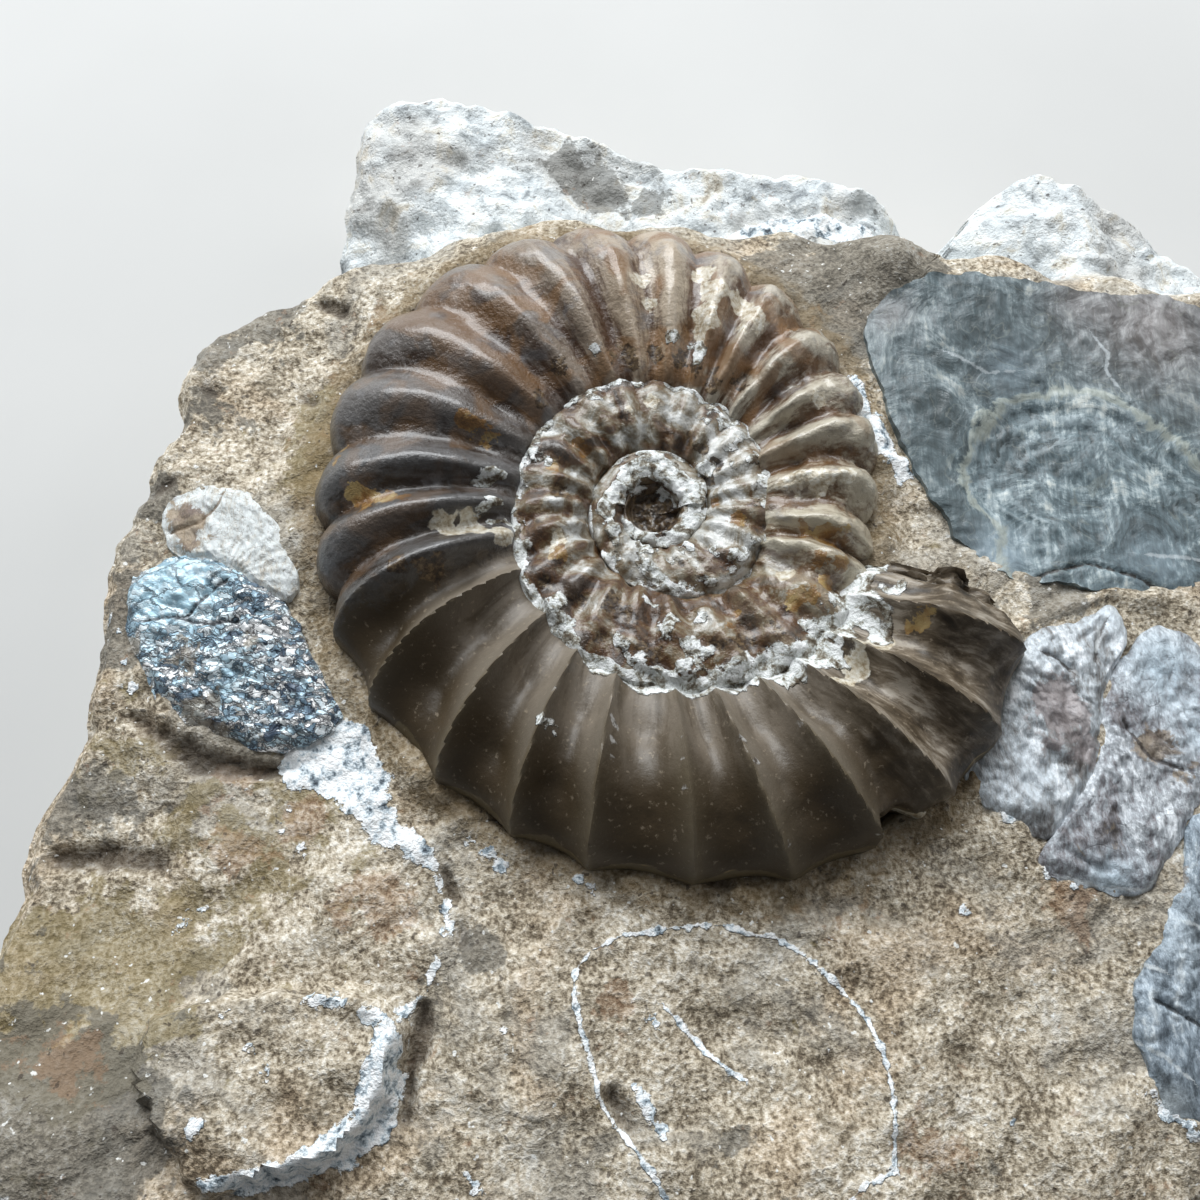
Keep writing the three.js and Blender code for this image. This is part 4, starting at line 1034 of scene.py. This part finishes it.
def calcite_coil():
    """The ammonite: see-through brown calcite on the older turns, dull olive brown on the body chamber."""
    material, tree, shader = new_material("calcite_shell")
    place = place_of(tree)
    trough, rib, across, turns = (mask_of(tree, name) for name in ("trough", "rib", "across", "turns"))
    along = add(tree, "ShaderNodeCombineXYZ")
    wire(tree, along, "X", times(tree, rib, 2.4))
    wire(tree, along, "Y", times(tree, across, 2.2))
    wire(tree, along, "Z", times(tree, turns, 7.0))
    streaks = noise(tree, along.outputs[0], 2.2, 6.0, 0.66, 0.4)
    by_rib = noise(tree, along.outputs[0], 0.45, 2.0, 0.5)
    cloud = noise(tree, place, 380.0, 6.0, 0.66, 0.4)
    fine = noise(tree, place, 2600.0, 4.0, 0.68)
    place_on_coil = calc(tree, "DIVIDE", plus(tree, turns, 3.0), 4.0)

    # Old, see-through calcite: dark in the troughs, milky on the ribs; the dark troughs are partly painted shade and
    # the pale crests partly painted highlight.
    troughs = ramp(tree, place_on_coil, (
        (0.3, rgb(70, 56, 42)), (0.58, rgb(58, 42, 28)), (0.68, rgb(44, 28, 16)), (0.74, rgb(96, 70, 42)),
        (0.8, rgb(84, 56, 32)), (0.83, rgb(70, 46, 28)), (0.86, rgb(46, 34, 24)), (0.89, rgb(44, 33, 23)),
    ))
    crests = ramp(tree, place_on_coil, (
        (0.3, rgb(134, 130, 120)), (0.52, rgb(142, 136, 124)), (0.58, rgb(136, 132, 124)), (0.68, rgb(104, 84, 64)),
        (0.735, rgb(190, 182, 162)), (0.79, rgb(190, 182, 166)), (0.815, rgb(178, 160, 138)),
        (0.84, rgb(112, 102, 94)),
        (0.87, rgb(90, 89, 89)), (0.89, rgb(84, 82, 80)),
    ))
    lift = calc(tree, "SUBTRACT", 1.05, times(tree, trough, 0.9))
    lift = swayed(tree, lift, streaks, 3.2)
    lift = swayed(tree, lift, fine, 1.1)
    lift = swayed(tree, lift, by_rib, 1.6)
    old = blend(tree, ranged(tree, lift, 0.0, 1.0), troughs, crests)
    film = times(tree, ranged(tree, cloud, 0.52, 0.66), 0.5)
    old = blend(tree, film, old, rgb(128, 128, 130))
    rust = times(tree, ranged(tree, noise(tree, place, 260.0, 3.0, 0.5, 1.0), 0.48, 0.6),
                 ranged(tree, turns, 0.5, 0.24, 0.25, 0.8))
    old = lay(tree, old, rgb(132, 98, 62), rust, ranged(tree, turns, -0.02, 0.16, 0.2, 1.0))
    # The inner turns are a jumble of brown glassy crystals, milky skin and dark gaps.
    jumble = ramp(tree, plus(tree, noise(tree, place, 430.0, 6.0, 0.64, 0.6), mask_of(tree, "milky")), (
        (0.38, rgb(40, 24, 12)), (0.45, rgb(92, 60, 30)), (0.5, rgb(120, 102, 74)), (0.55, rgb(160, 154, 140)),
        (0.62, rgb(226, 228, 226)),
    ))
    inner = times(tree, ranged(tree, turns, -0.05, -0.12), 0.74)
    old = blend(tree, inner, old, jumble)

    # The body chamber: dull olive brown, paler on the crests and towards the seam; the dark troughs are partly painted
    # shade and the pale crests partly painted highlight.
    ridge = calc(tree, "POWER", without(tree, trough), 2.0)
    dull = blend(tree, ridge, rgb(62, 50, 32), rgb(104, 94, 76))
    dull = lay(tree, dull, rgb(78, 64, 46), ranged(tree, cloud, 0.42, 0.68), 0.5)
    # Painted light on one face of each body-chamber rib and painted shade on the other.
    lit_side = mask_of(tree, "facing")
    dull = lay(tree, dull, rgb(132, 124, 112), ranged(tree, lit_side, 0.0, 0.9), 0.6)
    dull = lay(tree, dull, rgb(50, 39, 25), ranged(tree, lit_side, 0.0, -0.8), 0.45)
    seamward = times(tree, ranged(tree, across, 0.4, 0.8), ranged(tree, streaks, 0.36, 0.6, 0.2, 0.8))
    dull = blend(tree, seamward, dull, rgb(126, 116, 103))
    border = swayed(tree, turns, cloud, 0.05)
    chamber = ranged(tree, border, 0.556, 0.566)
    mouth = ranged(tree, border, 0.848, 0.866)
    torn_shell = ramp(tree, streaks, (
        (0.34, rgb(40, 31, 20)), (0.45, rgb(78, 66, 50)), (0.54, rgb(120, 108, 92)), (0.62, rgb(170, 160, 146)),
    ))
    dull = lay(tree, dull, torn_shell, mouth, 0.8)
    rim = use_group(tree, ragged, Place=place, Distance=mask_of(tree, "rim"), Ragged=1.0, Size=900.0)
    dull = lay(tree, dull, rgb(122, 110, 82), rim["Mask"], 0.45)
    thread = without(tree, ranged(tree, calc(tree, "ABSOLUTE", mask_of(tree, "rim")), 0.03, 0.1))
    thread = times(tree, thread, ranged(tree, noise(tree, place, 500.0, 3.0), 0.5, 0.62))
    thread = times(tree, thread, ranged(tree, turns, 0.7, 0.73))
    dull = lay(tree, dull, rgb(168, 146, 100), thread, 0.6)
    grit = ranged(tree, noise(tree, place, 3000.0, 3.0, 0.6), 0.6, 0.72)
    dull = lay(tree, dull, rgb(164, 150, 130), grit, 0.4)
    colour = blend(tree, chamber, old, dull)

    pale = use_group(tree, ragged, Place=place, Distance=mask_of(tree, "pale"), Ragged=1.6, Size=600.0)
    milk = ramp(tree, fine, ((0.34, rgb(158, 140, 110)), (0.48, rgb(212, 202, 180)), (0.62, rgb(240, 238, 228))))
    colour = lay(tree, colour, milk, pale["Mask"], 0.78)
    amber = use_group(tree, ragged, Place=place, Distance=mask_of(tree, "amber"), Ragged=2.4, Size=700.0)
    honey = ramp(tree, cloud, ((0.36, rgb(82, 52, 22)), (0.48, rgb(136, 98, 48)), (0.6, rgb(176, 152, 100))))
    colour = lay(tree, colour, honey, amber["Mask"], 0.85)
    # Dark cells, and painted shadow on the shaded umbilical wall.
    dark = use_group(tree, ragged, Place=place, Distance=mask_of(tree, "dark"), Ragged=2.2, Size=1000.0)
    cell_and_shadow_tone = ramp(tree, fine, ((0.38, rgb(32, 20, 12)), (0.5, rgb(72, 54, 34)), (0.62, rgb(124, 104, 76))))
    colour = lay(tree, colour, cell_and_shadow_tone, dark["Mask"], 0.9)
    crust = use_group(tree, ragged, Place=place, Distance=mask_of(tree, "white"),
                      Ragged=ranged(tree, turns, 0.56, 0.62, 1.8, 0.7), Size=1100.0)
    chalk = ramp(tree, noise(tree, place, 1300.0, 5.0, 0.68, 0.4), (
        (0.37, rgb(92, 80, 64)), (0.44, rgb(158, 154, 142)), (0.5, rgb(224, 228, 226)), (0.58, rgb(250, 252, 252)),
    ))
    colour = blend(tree, crust["Mask"], colour, chalk)
    fleck = use_group(tree, ragged, Place=place, Distance=mask_of(tree, "flecks"), Ragged=0.5, Size=1800.0)
    ash = ramp(tree, noise(tree, place, 2600.0, 3.0, 0.6), ((0.42, rgb(82, 74, 66)), (0.56, rgb(178, 176, 172))))
    colour = blend(tree, fleck["Mask"], colour, ash)
    tree.links.new(colour, shader.inputs["Base Color"])

    gloss = plus(tree, 0.3, times(tree, chamber, 0.16))
    gloss = plus(tree, gloss, times(tree, crust["Mask"], 0.5), clamp=True)
    tree.links.new(gloss, shader.inputs["Roughness"])
    shader.inputs["Coat Roughness"].default_value = 0.2
    bare = times(tree, without(tree, chamber), without(tree, crust["Mask"]))
    tree.links.new(times(tree, bare, 0.55), shader.inputs["Coat Weight"])
    height = times(tree, fine, without(tree, times(tree, chamber, 0.7)))
    height = plus(tree, height, times(tree, crust["Mask"], times(tree, noise(tree, place, 1900.0, 5.0, 0.7), 2.5)))
    height = plus(tree, height, times(tree, inner, times(tree, cloud, 2.0)))
    raise_surface(tree, shader, height, 0.14, 0.9)
    return material


def slate_shell():
    """The flattened ammonite: mottled blue slate with scratches and the pale edge of its whorl."""
    material, tree, shader = new_material("slate_shell")
    place = place_of(tree)
    whorl = mask_of(tree, "whorl")
    turned = add(tree, "ShaderNodeMapping", {"vector_type": "POINT"}, Vector=place)
    turned.inputs["Scale"].default_value = (1, 0.16, 1)
    scratches = noise(tree, turned.outputs[0], 3200.0, 4.0, 0.65)
    cloud = noise(tree, place, 360.0, 7.0, 0.7, 0.9)
    tone = plus(tree, times(tree, scratches, 0.3), times(tree, cloud, 0.7))
    colour = ramp(tree, tone, (
        (0.39, rgb(56, 66, 68)), (0.46, rgb(84, 98, 103)), (0.52, rgb(108, 124, 130)), (0.57, rgb(158, 172, 176)),
        (0.63, rgb(210, 216, 212)),
    ))
    outer = ranged(tree, whorl, 0.2, -1.4)
    colour = lay(tree, colour, rgb(82, 92, 94), outer, 0.45)
    colour = lay(tree, colour, blend(tree, ranged(tree, cloud, 0.4, 0.6), rgb(112, 98, 92), rgb(176, 166, 164)),
                 mask_of(tree, "brown"), 0.65)
    colour = lay(tree, colour, rgb(180, 200, 214), mask_of(tree, "pale"), 0.55)
    bent = swayed(tree, whorl, cloud, 4.0)
    rings = times(tree, ranged(tree, calc(tree, "SINE", times(tree, bent, 4.6)), 0.2, 1.0),
                  ranged(tree, whorl, -0.2, 0.4))
    rings = times(tree, rings, ranged(tree, whorl, 3.2, 5.2, 1.0, 0.0))
    colour = lay(tree, colour, rgb(166, 180, 186), rings, 0.35)
    edge = ranged(tree, calc(tree, "ABSOLUTE", bent), 0.05, 0.5, 1.0, 0.0)
    colour = lay(tree, colour, rgb(178, 184, 174), edge, 0.65)
    shards = use_group(tree, fine_cracks, Place=place, Size=240.0, Width=0.008)
    colour = lay(tree, colour, rgb(172, 176, 164), shards["Mask"], 0.16)
    colour = marked_lines(tree, place, colour, rgb(48, 42, 38), rgb(204, 212, 216))
    tree.links.new(colour, shader.inputs["Base Color"])
    shader.inputs["Roughness"].default_value = 0.4
    raise_surface(tree, shader, tone, 0.3, 0.8)
    return material


def marked_lines(tree, place, colour, crack_tone, scratch_tone):
    """Draws the cracks and scratches that the mesh carries, a little broken."""
    wander = times(tree, centred(tree, noise(tree, place, 1300.0, 3.0, 0.6)), 0.9)
    for mask, tone, share in (("crack", crack_tone, 0.85), ("scratch", scratch_tone, 0.5)):
        edge = plus(tree, calc(tree, "ABSOLUTE", mask_of(tree, mask)), calc(tree, "ABSOLUTE", wander))
        line = ranged(tree, edge, 0.08, 0.2, 1.0, 0.0)
        colour = lay(tree, colour, tone, line, share)
    return colour


def crushed_shell(name, stops, size, pale_tone, brown_tones, crack_tone, crumbled, metallic, roughness):
    """Crumpled shell: tones from dark folds to bright ones, a network of thin cracks, and its own tints."""
    material, tree, shader = new_material(name)
    place = place_of(tree)
    turned = add(tree, "ShaderNodeMapping", {"vector_type": "POINT"}, Vector=place)
    turned.inputs["Rotation"].default_value = (0, 0, math.radians(28))
    turned.inputs["Scale"].default_value = (1.5, 0.6, 1)
    folds = plus(tree, times(tree, noise(tree, turned.outputs[0], size, 8.0, 0.76, 0.3), 0.72),
                 times(tree, noise(tree, turned.outputs[0], 3000.0, 3.0, 0.65), 0.28))
    colour = ramp(tree, folds, stops)
    pale = times(tree, mask_of(tree, "pale"), ranged(tree, folds, 0.36, 0.56, 0.35, 0.9))
    colour = blend(tree, pale, colour, pale_tone)
    lumps = noise(tree, place, 700.0, 6.0, 0.7, 0.5)
    earth = ranged(tree, swayed(tree, mask_of(tree, "brown"), lumps, 2.4), 0.4, 0.6)
    colour = lay(tree, colour, blend(tree, ranged(tree, lumps, 0.42, 0.6), *brown_tones), earth, 0.85)
    wide = use_group(tree, fine_cracks, Place=place, Size=times(tree, size, 0.7), Width=0.012)
    thin = use_group(tree, fine_cracks, Place=place, Size=1500.0, Width=0.03)
    broken = plus(tree, times(tree, wide["Mask"], crumbled * 1.6), times(tree, thin["Mask"], crumbled), clamp=True)
    colour = blend(tree, broken, colour, crack_tone)
    colour = marked_lines(tree, place, colour, crack_tone, rgb(226, 232, 234))
    tree.links.new(colour, shader.inputs["Base Color"])
    shader.inputs["Roughness"].default_value = roughness
    shader.inputs["Metallic"].default_value = metallic
    height = calc(tree, "SUBTRACT", times(tree, folds, 2.0), times(tree, broken, 0.5))
    raise_surface(tree, shader, height, 0.18, 0.9)
    return material


def nacre_shell():
    """Crumpled mother of pearl: bright silver-blue flakes, dark gaps, a smoother sheet at one side."""
    material, tree, shader = new_material("nacre")
    place = place_of(tree)
    whole = mask_of(tree, "pale")
    cloud = noise(tree, place, 420.0, 7.0, 0.7, 0.4)
    small = use_group(tree, flakes, Place=place, Flakes=2400.0, Gap=0.13)
    large = use_group(tree, flakes, Place=place, Flakes=800.0, Gap=0.07)
    level = plus(tree, times(tree, small["Flake"], 0.5), times(tree, cloud, 1.0))
    colour = ramp(tree, level, (
        (0.48, rgb(76, 90, 108)), (0.58, rgb(140, 168, 188)), (0.68, rgb(196, 224, 238)), (0.78, rgb(236, 248, 254)),
        (0.9, rgb(255, 255, 255)),
    ))
    colour = lay(tree, colour, rgb(184, 222, 238), whole, 0.7)
    gaps = times(tree, small["Gaps"], ranged(tree, whole, 0.2, 0.8, 0.8, 0.12))
    gaps = calc(tree, "MAXIMUM", gaps, times(tree, large["Gaps"], 0.65))
    colour = blend(tree, gaps, colour, rgb(34, 38, 50))
    lumps = noise(tree, place, 600.0, 6.0, 0.7, 0.5)
    earth = ranged(tree, swayed(tree, mask_of(tree, "brown"), lumps, 3.0), 0.42, 0.6)
    colour = lay(tree, colour, blend(tree, ranged(tree, lumps, 0.42, 0.6), rgb(70, 58, 46), rgb(164, 156, 142)),
                 earth, 0.8)
    colour = marked_lines(tree, place, colour, rgb(30, 32, 40), rgb(226, 240, 246))
    tree.links.new(colour, shader.inputs["Base Color"])
    shader.inputs["Metallic"].default_value = 0.1
    shader.inputs["Roughness"].default_value = 0.32
    height = plus(tree, times(tree, small["Flake"], 0.5), times(tree, cloud, 1.6))
    raise_surface(tree, shader, calc(tree, "SUBTRACT", height, gaps), 0.1, 0.9)
    return material


def pale_floor():
    material, tree, shader = new_material("pale_floor")
    tone = noise(tree, place_of(tree), 30.0, 3.0)
    tree.links.new(ramp(tree, tone, ((0.3, (0.62, 0.62, 0.61, 1)), (0.7, (0.66, 0.66, 0.65, 1)))),
                   shader.inputs["Base Color"])
    shader.inputs["Roughness"].default_value = 0.9
    return material


def dress(piece, material):
    piece.data.materials.clear()
    piece.data.materials.append(material)


dress(slab, siltstone())
dress(coil, calcite_coil())
dress(flat_ammonite, slate_shell())
dress(nacre, nacre_shell())
dress(fan, crushed_shell("chalky_shell", (
    (0.3, rgb(170, 150, 120)), (0.42, rgb(218, 214, 204)), (0.52, rgb(238, 244, 244)), (0.64, rgb(252, 254, 255)),
), 1300.0, rgb(244, 250, 250), (rgb(96, 62, 34), rgb(172, 150, 122)), rgb(132, 114, 92), 0.2, 0.0, 0.55))
dress(silver, crushed_shell("silver_shell", (
    (0.38, rgb(92, 86, 82)), (0.45, rgb(138, 138, 138)), (0.52, rgb(184, 192, 198)), (0.6, rgb(244, 248, 252)),
), 300.0, rgb(224, 234, 242), (rgb(124, 116, 116), rgb(166, 158, 158)), rgb(70, 64, 60), 0.06, 0.12, 0.34))
dress(grey_shell, crushed_shell("grey_shell", (
    (0.38, rgb(84, 78, 76)), (0.45, rgb(128, 126, 130)), (0.52, rgb(170, 176, 182)), (0.6, rgb(238, 243, 248)),
), 330.0, rgb(188, 206, 218), (rgb(92, 76, 60), rgb(150, 136, 118)), rgb(62, 56, 54), 0.1, 0.1, 0.4))
dress(corner, crushed_shell("dark_shell", (
    (0.38, rgb(74, 84, 92)), (0.45, rgb(118, 130, 140)), (0.52, rgb(162, 176, 188)), (0.6, rgb(224, 234, 240)),
), 360.0, rgb(226, 236, 240), (rgb(98, 90, 82), rgb(140, 134, 128)), rgb(50, 54, 58), 0.06, 0.1, 0.38))

carry(slab, "matrix")
carry(coil, "ammonite")
carry(flat_ammonite, "flattened_ammonite")
carry(nacre, "nacre_shell")
carry(fan, "fan_shell")
carry(silver, "silver_shell")
carry(grey_shell, "grey_shell")
carry(corner, "corner_shell")


# ---------------------------------------------------------------- studio
bpy.ops.object.select_all(action="DESELECT")
bpy.ops.mesh.primitive_plane_add(size=3)
floor = bpy.context.active_object
floor.name = "floor"
dress(floor, pale_floor())

world = bpy.data.worlds.new("studio")
bpy.context.scene.world = world
world.use_nodes = True
world.node_tree.nodes["Background"].inputs["Color"].default_value = (0.9, 0.95, 1.0, 1)
world.node_tree.nodes["Background"].inputs["Strength"].default_value = 0.11


def softbox(name, place, aim, size, power, colour=(1, 1, 1)):
    data = bpy.data.lights.new(name, "AREA")
    data.shape = "RECTANGLE"
    data.size, data.size_y = size
    data.energy = power
    data.color = colour
    light = bpy.data.objects.new(name, data)
    bpy.context.scene.collection.objects.link(light)
    light.location = place
    light.rotation_euler = (Vector(aim) - Vector(place)).to_track_quat("-Z", "Y").to_euler()


softbox("back_box", (-0.09, 0.33, 0.3), (0, 0, 0.02), (0.5, 0.25), 3.5, (0.95, 0.98, 1.0))
softbox("right_box", (0.36, 0.1, 0.3), (0, 0, 0.02), (0.22, 0.3), 0.35, (1.0, 0.98, 0.95))

EYE = Vector((POLE[0] - 3.14, POLE[1] - 27.9, MID_HEIGHT + 61.44)) * MM
camera_data = bpy.data.cameras.new("camera")
camera_data.sensor_width = 36
camera_data.angle = math.radians(55)
camera_data.clip_start = 0.005
camera = bpy.data.objects.new("camera", camera_data)
bpy.context.scene.collection.objects.link(camera)
camera.location = EYE
camera.rotation_euler = (math.radians(90 - 70), 0, 0)
bpy.context.scene.camera = camera
bpy.context.scene.view_settings.view_transform = "Standard"
